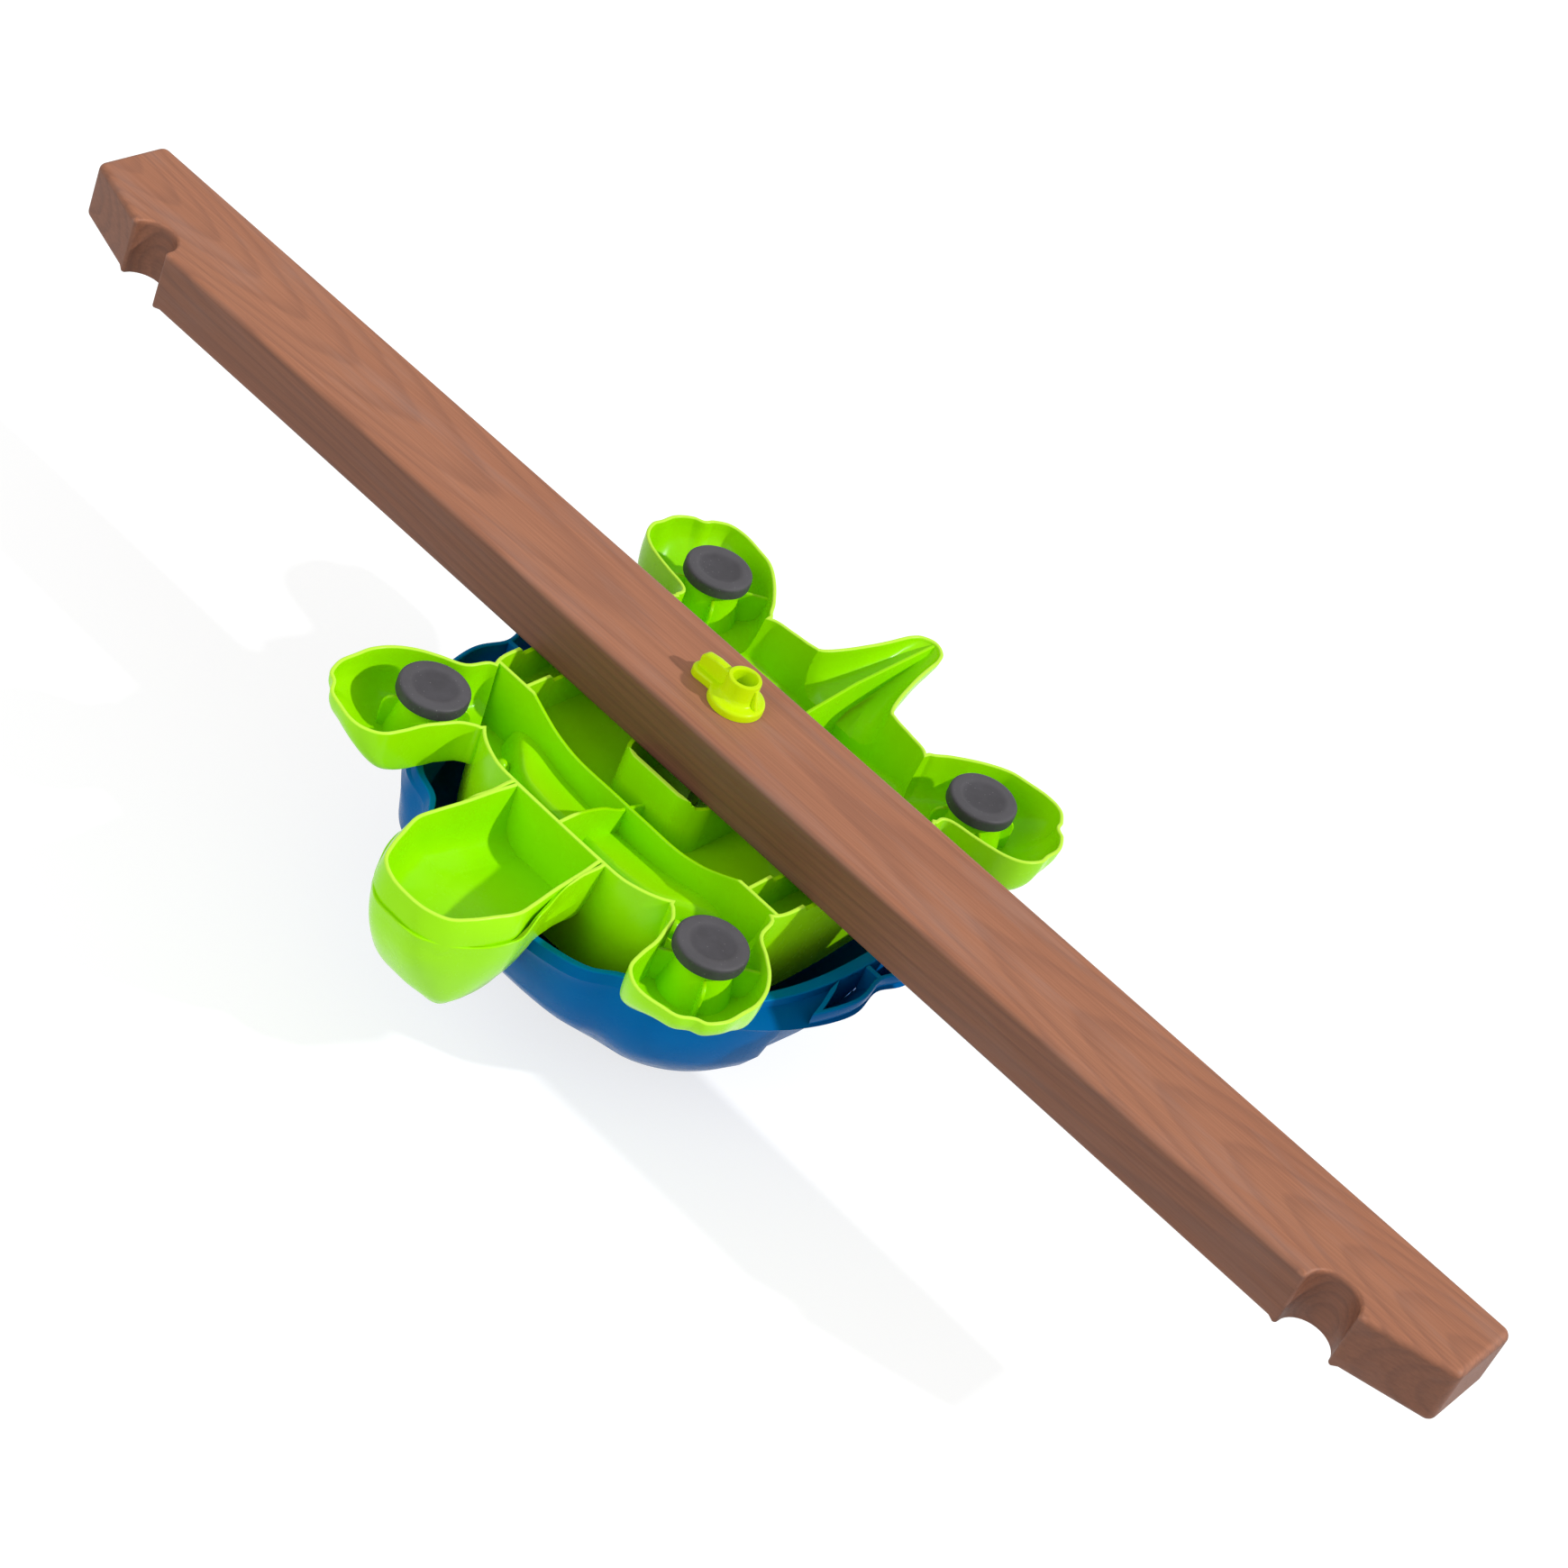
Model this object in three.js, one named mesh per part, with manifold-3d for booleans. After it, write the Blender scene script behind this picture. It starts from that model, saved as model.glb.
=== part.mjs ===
// Rocking balance board: a timber beam clamped across a plastic turtle that lies on its back.
// Millimetres, +Z up. The origin is on the floor under the bolt.
// +X runs along the beam, and -Y points to the turtle's head.

import * as THREE from 'three';
import { mergeVertices } from 'three/addons/utils/BufferGeometryUtils.js';
import Module from 'manifold-3d';

const wasm = await Module();
wasm.setup();

// Driving dimensions of the beam
const beamLength = 1360;
const beamWidth = 95;
const beamThickness = 50;
const beamEdgeRound = 6;
const notchWidth = 41;
const notchDepth = 24;
const notchFromEnd = 91.5;
const tipTaperWidth = 27.6;
const tipTaperLength = 88.3;

// Driving dimensions of the turtle's body
const rimHeight = 206.5;
const saddleDepth = 6.5;
const saddleWidth = 116;
const bodyHalfWidth = 141;
const bodyHalfLength = 163;
const wallThickness = 3;
const ribThickness = 3;
const floorDepthCentre = 53.5;
const floorRise = 21;
const floorRiseReach = 75;
const skirtDepth = 96;
const skirtDraft = 7;
const crossWallY = 84;
const saddleRibX = 112;

// Driving dimensions of the head, legs and tail
const headReach = 153;
const trayHalfWidth = 51.5;
const trayDepth = 53;
const cupHalfWidth = 58;
const cupDepth = 97;
const cupLipDrop = 15;
const throatClearance = 3;
const toeDepth = 23;
const legDepthGain = 19;
const padPostRadius = 19.5;
const padPostFootRadius = 27;
const postRibDrop = 11;
const postFinReach = 32;
const postFinRound = 8;
const tailReach = 96;
const tailDepth = 34;

// Driving dimensions of the hub and the screws
const hubHalfWidth = 40;
const hubHalfLength = 63;
const hubCornerRadius = 18;
const hubBossRadius = 14;
const hubBossHeight = 9;
const screwSleeveLength = 11;
const screwSleeveRadius = 7;
const screwHeadRadius = 4.2;
const screwHeadHeight = 2.8;
const screwShankRadius = 2;
const screwGrip = 18;

// Driving dimensions of the shell
const shellRimDrop = 56.5;
const shellOverBodyWidth = 34;
const shellOverBodyLength = 43;
const shellWall = 3.5;
const shellLipHeight = 9;
const shellValleyDepth = 5;
const shellCrownRadius = 34;
const petalReach = 28;
const petalHalfSpan = 88;
const petalDepth = 42;
const ovalFootShare = 0.9;

// Driving dimensions of the pads and the clamp
const padRadius = 26.4;
const padThickness = 10.5;
const padRise = 5.5;
const padDishRadius = 21;
const padDishDepth = 1.2;
const padEdgeRound = 2;
const padPlugRadius = 6;
const padPlugLength = 12;
const boltRadius = 4;
const boltHeadHeight = 5.3;
const hexAcrossFlats = 13;
const boltEndOverNut = 2;
const nutHeight = 6.5;
const knobFlangeRadius = 21;
const knobFlangeHeight = 6.5;
const knobBarrelRadius = 12.5;
const knobBoreRadius = 8.8;
const knobHeight = 24;
const knobWingReach = 41;
const knobWingThickness = 7;
const knobWingHeight = 21;
const knobWebUnderNut = 2.5;
const washerRadius = 12;
const washerThickness = 1.6;

// Clearances
const seatGap = 0.3;
const boltClearance = 0.5;
const runningClearance = 0.3;
const overrun = 5;

// Points closer than this are one point
const weldDistance = 0.00005;
const circleSteps = 24;
const smallCircleSteps = 16;

// Heights worked out from the stack
const beamBottom = rimHeight - saddleDepth;
const beamTop = beamBottom + beamThickness;
const hubFloor = rimHeight - floorDepthCentre;
const screwSeatHeight = hubFloor - screwSleeveLength;
const padTopHeight = rimHeight + padRise;
const shellRimHeight = rimHeight - shellRimDrop;

// Spans of the shell, which reaches out all round the body
const shellHalfWidth = bodyHalfWidth + shellOverBodyWidth;
const shellHalfLength = bodyHalfLength + shellOverBodyLength;
const petalHalfWidth = shellHalfWidth + petalReach;

const colours = {
  wood: 0x9a6248,
  lime: 0x8fd400,
  knob: 0xb9e01c,
  blue: 0x005a9e,
  rubber: 0x3b3a40,
  steel: 0xb9bcc0,
};

// Solids and geometries

function toSolid(geometry) {
  const bare = geometry.clone();
  bare.deleteAttribute('normal');
  bare.deleteAttribute('uv');
  const merged = mergeVertices(bare, weldDistance);
  const position = merged.getAttribute('position');
  const vertProperties = new Float32Array(position.array);
  const triVerts = new Uint32Array(merged.getIndex().array);
  return new wasm.Manifold(new wasm.Mesh({ numProp: 3, vertProperties, triVerts }));
}

function toGeometry(solid) {
  const mesh = solid.getMesh();
  const geometry = new THREE.BufferGeometry();
  const stride = mesh.numProp;
  const count = mesh.vertProperties.length / stride;
  const positions = new Float32Array(count * 3);
  for (let i = 0; i < count; i += 1) {
    positions.set(mesh.vertProperties.slice(i * stride, i * stride + 3), i * 3);
  }
  geometry.setAttribute('position', new THREE.BufferAttribute(positions, 3));
  geometry.setIndex(new THREE.BufferAttribute(new Uint32Array(mesh.triVerts), 1));
  geometry.computeVertexNormals();
  return geometry;
}

function joined(solids) {
  return solids.reduce((sum, solid) => sum.add(solid));
}

// A closed solid through rings of points, from the top ring to the lowest. Each ring runs anticlockwise
// seen from above.
// The first ring is filled by a flat cap and the last one by a fan to its middle.
function ringSolid(rings) {
  const count = rings[0].length;
  const points = rings.flat();
  const middle = new THREE.Vector3();
  rings[rings.length - 1].forEach((p) => middle.addScaledVector(p, 1 / count));
  points.push(middle);
  const index = [];
  const lid = rings[0].map((p) => new THREE.Vector2(p.x, p.y));
  const cap = THREE.ShapeUtils.triangulateShape(lid, []);
  cap.forEach(([a, b, c]) => index.push(a, b, c));
  for (let r = 0; r + 1 < rings.length; r += 1) {
    for (let i = 0; i < count; i += 1) {
      const next = (i + 1) % count;
      const a = r * count + i;
      const b = r * count + next;
      const c = a + count;
      const d = b + count;
      index.push(a, c, d, a, d, b);
    }
  }
  const last = (rings.length - 1) * count;
  for (let i = 0; i < count; i += 1) {
    index.push(last + i, points.length - 1, last + ((i + 1) % count));
  }
  const geometry = new THREE.BufferGeometry().setFromPoints(points);
  geometry.setIndex(index);
  return toSolid(geometry);
}

// A flat outline pushed up from one height to another
function prism(outline, low, high) {
  const shape = new THREE.Shape(outline);
  const geometry = new THREE.ExtrudeGeometry(shape, { depth: high - low, bevelEnabled: false });
  geometry.translate(0, 0, low);
  return toSolid(geometry);
}

// A flat plate standing across Y. Its outline is given in X and Z.
function plateAcrossY(outline, y, thickness) {
  const shape = new THREE.Shape(outline);
  const geometry = new THREE.ExtrudeGeometry(shape, { depth: thickness, bevelEnabled: false });
  geometry.rotateX(Math.PI / 2);
  geometry.translate(0, y + thickness / 2, 0);
  return toSolid(geometry);
}

// A flat plate standing across X. Its outline is given in Y and Z.
function plateAcrossX(outline, x, thickness) {
  const shape = new THREE.Shape(outline);
  const geometry = new THREE.ExtrudeGeometry(shape, { depth: thickness, bevelEnabled: false });
  geometry.rotateX(Math.PI / 2);
  geometry.rotateZ(Math.PI / 2);
  geometry.translate(x - thickness / 2, 0, 0);
  return toSolid(geometry);
}

function box(xLow, xHigh, yLow, yHigh, zLow, zHigh) {
  const geometry = new THREE.BoxGeometry(xHigh - xLow, yHigh - yLow, zHigh - zLow);
  geometry.translate((xLow + xHigh) / 2, (yLow + yHigh) / 2, (zLow + zHigh) / 2);
  return toSolid(geometry);
}

function rod(radius, low, high, x = 0, y = 0, steps = circleSteps, footRadius = radius) {
  const geometry = new THREE.CylinderGeometry(radius, footRadius, high - low, steps);
  geometry.rotateX(Math.PI / 2);
  geometry.translate(x, y, (low + high) / 2);
  return toSolid(geometry);
}

function hexRod(acrossFlats, low, high) {
  return rod(acrossFlats / Math.sqrt(3), low, high, 0, 0, 6);
}

// A turned solid about the Z axis. The profile lists radius and height and closes on itself.
function turned(profile, steps = circleSteps) {
  const points = profile.map(([radius, height]) => new THREE.Vector2(radius, height));
  if (THREE.ShapeUtils.isClockWise(points)) points.reverse();
  const geometry = new THREE.LatheGeometry([...points, points[0]], steps);
  geometry.rotateX(Math.PI / 2);
  return toSolid(geometry);
}

const mirrored = (points) => points.map((p) => new THREE.Vector2(-p.x, p.y)).reverse();

// Beam

// Steps on a quarter of a small rounding
const edgeSteps = 5;

function makeBeam() {
  const halfWidth = beamWidth / 2;
  const halfThick = beamThickness / 2;
  const inner = new THREE.Vector2(halfWidth - beamEdgeRound, halfThick - beamEdgeRound);
  const section = new THREE.Shape();
  section.absarc(inner.x, inner.y, beamEdgeRound, 0, Math.PI / 2);
  section.absarc(-inner.x, inner.y, beamEdgeRound, Math.PI / 2, Math.PI);
  section.absarc(-inner.x, -inner.y, beamEdgeRound, Math.PI, Math.PI * 1.5);
  section.absarc(inner.x, -inner.y, beamEdgeRound, Math.PI * 1.5, Math.PI * 2);
  const bar = new THREE.ExtrudeGeometry(section, {
    depth: beamLength, bevelEnabled: false, curveSegments: edgeSteps,
  });
  bar.translate(0, 0, -beamLength / 2);
  bar.rotateX(Math.PI / 2);
  bar.rotateZ(Math.PI / 2);
  bar.translate(0, 0, beamBottom + halfThick);

  const low = beamBottom - overrun;
  const high = beamTop + overrun;
  const notchX = beamLength / 2 - notchFromEnd;
  const notchRadius = notchWidth / 2;
  const arcY = -halfWidth + notchDepth - notchRadius;
  const tipX = beamLength / 2 + overrun;
  const slope = tipTaperWidth / tipTaperLength;
  let beam = toSolid(bar);
  for (const side of [1, -1]) {
    const notch = new THREE.Shape();
    notch.moveTo(side * notchX - notchRadius, -halfWidth - overrun);
    notch.lineTo(side * notchX + notchRadius, -halfWidth - overrun);
    notch.absarc(side * notchX, arcY, notchRadius, 0, Math.PI);
    const tip = [
      new THREE.Vector2(side * (beamLength / 2 - tipTaperLength), -halfWidth),
      new THREE.Vector2(side * tipX, -halfWidth + tipTaperWidth + overrun * slope),
      new THREE.Vector2(side * tipX, -halfWidth - overrun),
      new THREE.Vector2(side * (beamLength / 2 - tipTaperLength), -halfWidth - overrun),
    ];
    if (side > 0) tip.reverse();
    beam = beam.subtract(prism(notch.getPoints(circleSteps / 2), low, high));
    beam = beam.subtract(prism(tip, low, high));
  }
  return beam.subtract(rod(boltRadius + boltClearance, low, high, 0, 0, smallCircleSteps));
}

// Turtle body

// The floor of the body is a shallow bowl that rises to both sides.
function floorHeight(x) {
  const rise = 1 - Math.exp(-((x / floorRiseReach) ** 2));
  return hubFloor + floorRise * rise;
}

// Corners of the tub, right half from the head to the tail, as shares of its half width and half length
const tubShares = [
  [0.3, -1], [0.48, -0.985], [0.667, -0.896], [1, -0.54], [1.03, -0.35], [1.03, 0.2],
  [0.96, 0.6], [0.574, 0.933], [0.5, 0.95], [0.43, 0.98], [0.26, 0.991],
];

// Rim of a front leg, from the side wall round the toes to the front wall, as shares of the same sizes
const frontLegShares = [
  [1, -0.54], [1.064, -0.669], [1.17, -0.736], [1.262, -0.804], [1.333, -0.89], [1.372, -0.988],
  [1.376, -1.08], [1.376, -1.166], [1.355, -1.227], [1.326, -1.27], [1.277, -1.294], [1.22, -1.35],
  [1.135, -1.374],
  [1.028, -1.393], [0.943, -1.38], [0.865, -1.325], [0.83, -1.227], [0.809, -1.117], [0.78, -1.043],
  [0.745, -0.963], [0.695, -0.914], [0.667, -0.896],
];
const frontLegRootShares = [[0.6, -0.72], [0.76, -0.52]];
const frontPadShares = [0.984, -0.931];

// Rim of a rear leg, from the side wall round the toes to the rear wall
const rearLegShares = [
  [0.957, 0.601], [0.965, 0.656], [1.007, 0.681], [1.117, 0.699], [1.224, 0.72], [1.319, 0.748],
  [1.397, 0.798], [1.444, 0.882], [1.438, 0.942], [1.433, 1.031], [1.379, 1.114], [1.325, 1.145],
  [1.305, 1.19],
  [1.238, 1.252], [1.135, 1.27], [1, 1.252], [0.894, 1.227], [0.773, 1.147], [0.652, 1.031],
  [0.6, 0.963], [0.574, 0.933],
];
const rearLegRootShares = [[0.56, 0.72], [0.7, 0.54]];
const rearPadShares = [0.977, 0.918];

// Rim of the tray in the head, right half from the neck forward, as shares of its half width
// and of the head's reach
const trayShares = [
  [0.816, -0.02], [0.874, 0.118], [0.922, 0.307], [0.981, 0.464], [1, 0.569], [0.893, 0.686],
  [0.777, 0.791], [0.621, 0.882], [0.33, 0.935],
];
const trayTipShare = 0.948;
// Where the middle of the head lies along its reach, where the cup's lip starts to drop, and where it is down
const headCentreShare = 0.53;
const lipStartShare = 0.42;
const lipLowShare = 0.52;
// How much shallower the tray is at the tip of the head, and the tail at its tip
const trayRiseShare = 0.35;
const tailRiseShare = 0.7;

// Rim of the outer cup of the head in the same way, and the squarer outline that it has near its bottom
const cupShares = [
  [0.7, -0.06], [0.81, 0.16], [0.85, 0.29], [0.93, 0.405], [0.985, 0.5], [1, 0.585], [0.93, 0.68],
  [0.8, 0.77], [0.62, 0.87], [0.35, 0.965],
];
const cupBaseShares = [
  [0.4, -0.06], [0.45, 0.16], [0.5, 0.28], [0.54, 0.38], [0.56, 0.48], [0.57, 0.58], [0.57, 0.65],
  [0.53, 0.7], [0.42, 0.725], [0.2, 0.73],
];
const cupBaseTipShare = 0.73;

// Rim of the tail, right half from the root to the tip, as shares of the root's half width
// and of the tail's reach
const tailRootHalfWidth = 37;
const tailShares = [[1, 0], [0.87, 0.25], [0.68, 0.55], [0.54, 0.72], [0.4, 0.84], [0.26, 0.95]];

// How far a hollow form is drawn in and how deep it lies, ring by ring, as shares of its width and depth
const podProfileShares = [[1, 0], [0.985, 0.45], [0.93, 0.78], [0.78, 0.95], [0.42, 1]];
const scoopProfileShares = [[1, 0], [0.98, 0.4], [0.9, 0.72], [0.72, 0.93], [0.4, 1]];
const cupProfileShares = [[0, 0], [0.12, 0.3], [0.38, 0.6], [0.7, 0.85], [1, 0.98]];
const cupBottomShare = 0.6;
// A wall that slopes is drawn in by a little more than its thickness
const slopedWallShare = 1.05;

const place = ([u, v]) => new THREE.Vector2(u * bodyHalfWidth, v * bodyHalfLength);
const neckY = -bodyHalfLength;
const headPlace = (halfWidth) => ([u, v]) => new THREE.Vector2(u * halfWidth, neckY - v * headReach);
const tailPlace = ([u, v]) => new THREE.Vector2(u * tailRootHalfWidth, bodyHalfLength + v * tailReach);

// Both halves of an outline, anticlockwise, from its right half and any points on the middle line
function wholeOutline(rightHalf, middle = []) {
  const points = [...rightHalf, ...middle, ...mirrored(rightHalf)];
  return THREE.ShapeUtils.isClockWise(points) ? points.reverse() : points;
}

// Points moved straight towards a centre by one distance
function drawnIn(points, centre, distance) {
  return points.map((p) => {
    const arm = p.clone().sub(centre);
    return centre.clone().addScaledVector(arm, Math.max(0, 1 - distance / arm.length()));
  });
}

// A bowl under an outline: each ring is a smaller copy about the centre, and lies deeper.
function bowl(outline, centre, depthAt, profileShares, top) {
  const rings = profileShares.map(([widthShare, depthShare]) => outline.map((p) => {
    const q = centre.clone().lerp(p, widthShare);
    return new THREE.Vector3(q.x, q.y, rimHeight - depthShare * depthAt(q));
  }));
  const lid = outline.map((p) => new THREE.Vector3(p.x, p.y, top));
  return ringSolid(top > rimHeight ? [lid, ...rings] : rings);
}

// A hollow form: the outer bowl, and the space inside its wall, which is open at the top.
function hollowForm(outline, centre, depthAt, profileShares) {
  const outer = bowl(outline, centre, depthAt, profileShares, rimHeight);
  const insideDepth = (q) => depthAt(q) - wallThickness;
  const innerOutline = drawnIn(outline, centre, wallThickness * slopedWallShare);
  const inside = bowl(innerOutline, centre, insideDepth, profileShares, rimHeight + overrun);
  return { outer, inside };
}

function tubOutline() {
  return wholeOutline(tubShares.map(place));
}

// Both leg pods of one end of the body
function makeLegPair(legShares, rootShares, padShares) {
  const pad = place(padShares);
  const outward = pad.clone().normalize();
  const rim = [...legShares, ...rootShares].map(place);
  const right = THREE.ShapeUtils.isClockWise(rim) ? rim.reverse() : rim;
  const shallowFrom = padRadius;
  const shallowSpan = padRadius * 1.5;
  const pods = [];
  for (const side of [1, -1]) {
    const centre = new THREE.Vector2(side * pad.x, pad.y);
    const outline = side > 0 ? right : mirrored(right);
    const axis = new THREE.Vector2(side * outward.x, outward.y);
    const depthAt = (q) => {
      const toToes = (q.clone().sub(centre).dot(axis) - shallowFrom) / shallowSpan;
      return toeDepth + legDepthGain * (1 - THREE.MathUtils.smoothstep(toToes, 0, 1));
    };
    pods.push({ centre, axis, ...hollowForm(outline, centre, depthAt, podProfileShares) });
  }
  return pods;
}

// The post that carries a pad. A rib crosses the pod to both of its walls, and a fin with rounded
// corners lies along the leg.
function makePost({ centre, axis }) {
  const postTop = padTopHeight - padThickness - seatGap;
  const low = rimHeight - toeDepth - legDepthGain + wallThickness / 2;
  const ribTop = rimHeight - postRibDrop;
  const reach = postFinReach;
  const half = ribThickness / 2;
  const crossRib = box(-half, half, -reach * 1.5, reach * 1.5, low, ribTop);
  const finShape = new THREE.Shape();
  finShape.moveTo(-reach, low);
  finShape.lineTo(reach, low);
  finShape.absarc(reach - postFinRound, ribTop - postFinRound, postFinRound, 0, Math.PI / 2);
  finShape.absarc(-reach + postFinRound, ribTop - postFinRound, postFinRound, Math.PI / 2, Math.PI);
  const fin = plateAcrossY(finShape.getPoints(edgeSteps), 0, ribThickness);
  const post = rod(padPostRadius, low, postTop, 0, 0, circleSteps, padPostFootRadius);
  const turn = THREE.MathUtils.radToDeg(axis.angle());
  return joined([post, crossRib, fin]).rotate([0, 0, turn]).translate([centre.x, centre.y, 0]);
}

function makeTail() {
  const centre = new THREE.Vector2(0, bodyHalfLength + tailReach / 3);
  const rootInside = new THREE.Vector2(tailRootHalfWidth, bodyHalfLength - wallThickness * 3);
  const right = [rootInside, ...tailShares.map(tailPlace)];
  const outline = wholeOutline(right, [new THREE.Vector2(0, bodyHalfLength + tailReach)]);
  const depthAt = (q) => {
    const along = THREE.MathUtils.clamp((q.y - bodyHalfLength) / tailReach, 0, 1);
    return tailDepth * (1 - tailRiseShare * along);
  };
  return hollowForm(outline, centre, depthAt, scoopProfileShares);
}

// The outer cup of the head turns from its round rim to a squarer bottom.
// The inset gives the space inside its wall.
function cupForm(centre, inset) {
  const rimTip = new THREE.Vector2(0, neckY - headReach);
  const baseTip = new THREE.Vector2(0, neckY - headReach * cupBaseTipShare);
  const rim = drawnIn(wholeOutline(cupShares.map(headPlace(cupHalfWidth)), [rimTip]), centre, inset);
  const base = drawnIn(wholeOutline(cupBaseShares.map(headPlace(cupHalfWidth)), [baseTip]), centre, inset);
  const depth = cupDepth - inset;
  const ringAt = (blend, height, share) => rim.map((p, i) => {
    const q = centre.clone().lerp(p.clone().lerp(base[i], blend), share);
    return new THREE.Vector3(q.x, q.y, height);
  });
  const rings = cupProfileShares.map(([blend, depthShare]) => (
    ringAt(blend, rimHeight - depth * depthShare, 1)));
  rings.push(ringAt(1, rimHeight - depth, cupBottomShare));
  return ringSolid(inset > 0 ? [ringAt(0, rimHeight + overrun, 1), ...rings] : rings);
}

// The head is a shallow tray inside a deeper outer cup, with a narrow slot between their rims.
function makeHead() {
  const centre = new THREE.Vector2(0, neckY - headReach * headCentreShare);
  const trayRight = trayShares.map(headPlace(trayHalfWidth));
  const trayTip = new THREE.Vector2(0, neckY - headReach * trayTipShare);
  const trayOutline = wholeOutline(trayRight, [trayTip]);
  const trayDepthAt = (q) => {
    const along = THREE.MathUtils.clamp((neckY - q.y) / headReach, 0, 1);
    return trayDepth * (1 - trayRiseShare * along);
  };
  const tray = hollowForm(trayOutline, centre, trayDepthAt, scoopProfileShares);

  // The throat of the cup passes over the rim of the shell, and the chin hangs down in front of it.
  const wide = cupHalfWidth * 2;
  const overShell = (gap) => box(-wide, wide, -shellHalfLength - gap, 0, 0, shellRimHeight + gap);
  const cupOuter = cupForm(centre, 0).subtract(overShell(throatClearance));
  const cupInside = cupForm(centre, wallThickness).subtract(overShell(throatClearance + wallThickness));

  const lipStart = neckY - headReach * lipStartShare;
  const lipLow = neckY - headReach * lipLowShare;
  const front = neckY - headReach - overrun;
  const lipCut = plateAcrossX([
    new THREE.Vector2(lipStart, rimHeight + overrun),
    new THREE.Vector2(lipStart, rimHeight),
    new THREE.Vector2(lipLow, rimHeight - cupLipDrop - wallThickness),
    new THREE.Vector2(front, rimHeight - cupLipDrop),
    new THREE.Vector2(front, rimHeight + overrun),
  ], 0, wide);
  const cupShell = cupOuter.subtract(cupInside).subtract(lipCut);
  return { cupShell, trayOuter: tray.outer, trayInside: tray.inside };
}

// The hub is an upright tub round the bolt. The beam rests on its walls.
function hubOutline(inset) {
  const halfWidth = hubHalfWidth - inset;
  const halfLength = hubHalfLength - inset;
  const radius = hubCornerRadius - inset;
  const shape = new THREE.Shape();
  shape.absarc(halfWidth - radius, halfLength - radius, radius, 0, Math.PI / 2);
  shape.absarc(-halfWidth + radius, halfLength - radius, radius, Math.PI / 2, Math.PI);
  shape.absarc(-halfWidth + radius, -halfLength + radius, radius, Math.PI, Math.PI * 1.5);
  shape.absarc(halfWidth - radius, -halfLength + radius, radius, Math.PI * 1.5, Math.PI * 2);
  return shape.getPoints(edgeSteps);
}

// The wall across the body. Its top dips in the middle, as shares of the body's half width
// and of the floor's depth.
const crossWallShares = [[0.74, 0], [0.6, 0.18], [0.5, 0.28], [0.35, 0.355], [0, 0.355]];
// Top of the middle rib from the neck to the cross wall, as shares of the body's half length
// and of the floor's depth
const neckRibShares = [[-1, 0], [-0.88, 0], [-0.7, 0.16], [-0.56, 0.38], [-0.5, 0.42], [-0.375, 0.53]];

function makeRibs() {
  const low = hubFloor - wallThickness / 2;
  const wide = bodyHalfWidth + overrun;
  const topAt = ([u, drop]) => new THREE.Vector2(u * bodyHalfWidth, rimHeight - drop * floorDepthCentre);
  const right = crossWallShares.map(topAt);
  const left = right.slice(0, -1).map((p) => new THREE.Vector2(-p.x, p.y)).reverse();
  const crossOutline = [
    new THREE.Vector2(-wide, low), new THREE.Vector2(wide, low), new THREE.Vector2(wide, rimHeight),
    ...right, ...left, new THREE.Vector2(-wide, rimHeight),
  ];
  const neckOutline = [
    ...neckRibShares.map(([v, drop]) => (
      new THREE.Vector2(v * bodyHalfLength, rimHeight - drop * floorDepthCentre))),
    new THREE.Vector2(-hubHalfLength + wallThickness, low),
    new THREE.Vector2(neckY, low),
  ];
  const tailTip = bodyHalfLength + tailReach - wallThickness / 2;
  const tailOutline = [
    new THREE.Vector2(hubHalfLength - wallThickness, low),
    new THREE.Vector2(tailTip, low),
    new THREE.Vector2(tailTip, rimHeight - wallThickness / 2),
    new THREE.Vector2(bodyHalfLength, rimHeight - wallThickness),
    new THREE.Vector2(crossWallY + saddleDepth * 4, rimHeight - saddleDepth * 1.5),
    new THREE.Vector2(hubHalfLength - wallThickness, rimHeight - saddleDepth * 3.5),
  ];
  const saddleRib = [
    new THREE.Vector2(-crossWallY, low), new THREE.Vector2(crossWallY, low),
    new THREE.Vector2(crossWallY, rimHeight), new THREE.Vector2(-crossWallY, rimHeight),
  ];
  return joined([
    plateAcrossY(crossOutline, -crossWallY, ribThickness),
    plateAcrossY(crossOutline, crossWallY, ribThickness),
    plateAcrossX(neckOutline.reverse(), 0, ribThickness),
    plateAcrossX(tailOutline, 0, ribThickness),
    plateAcrossX(saddleRib, saddleRibX, ribThickness),
    plateAcrossX(saddleRib, -saddleRibX, ribThickness),
  ]);
}

// Places of the shell's screws, as shares of the body's half width and half length
const screwShares = [[0.62, 0.12], [-0.62, 0.12], [0.5, 0.69], [-0.5, 0.69], [0, 0.25], [0, -0.25]];
const screwPlaces = screwShares.map(place);
const screwSeatTop = (p) => floorHeight(p.x) + wallThickness / 2;

// Socket under the hub's floor that holds the bolt's head
const boltSeat = hubFloor - wallThickness;
const boltSocketBottom = boltSeat - hubBossHeight;

// Rings of the body's floor, from its edge to its middle
const floorRingShares = [1, 0.85, 0.65, 0.45, 0.25];

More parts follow.
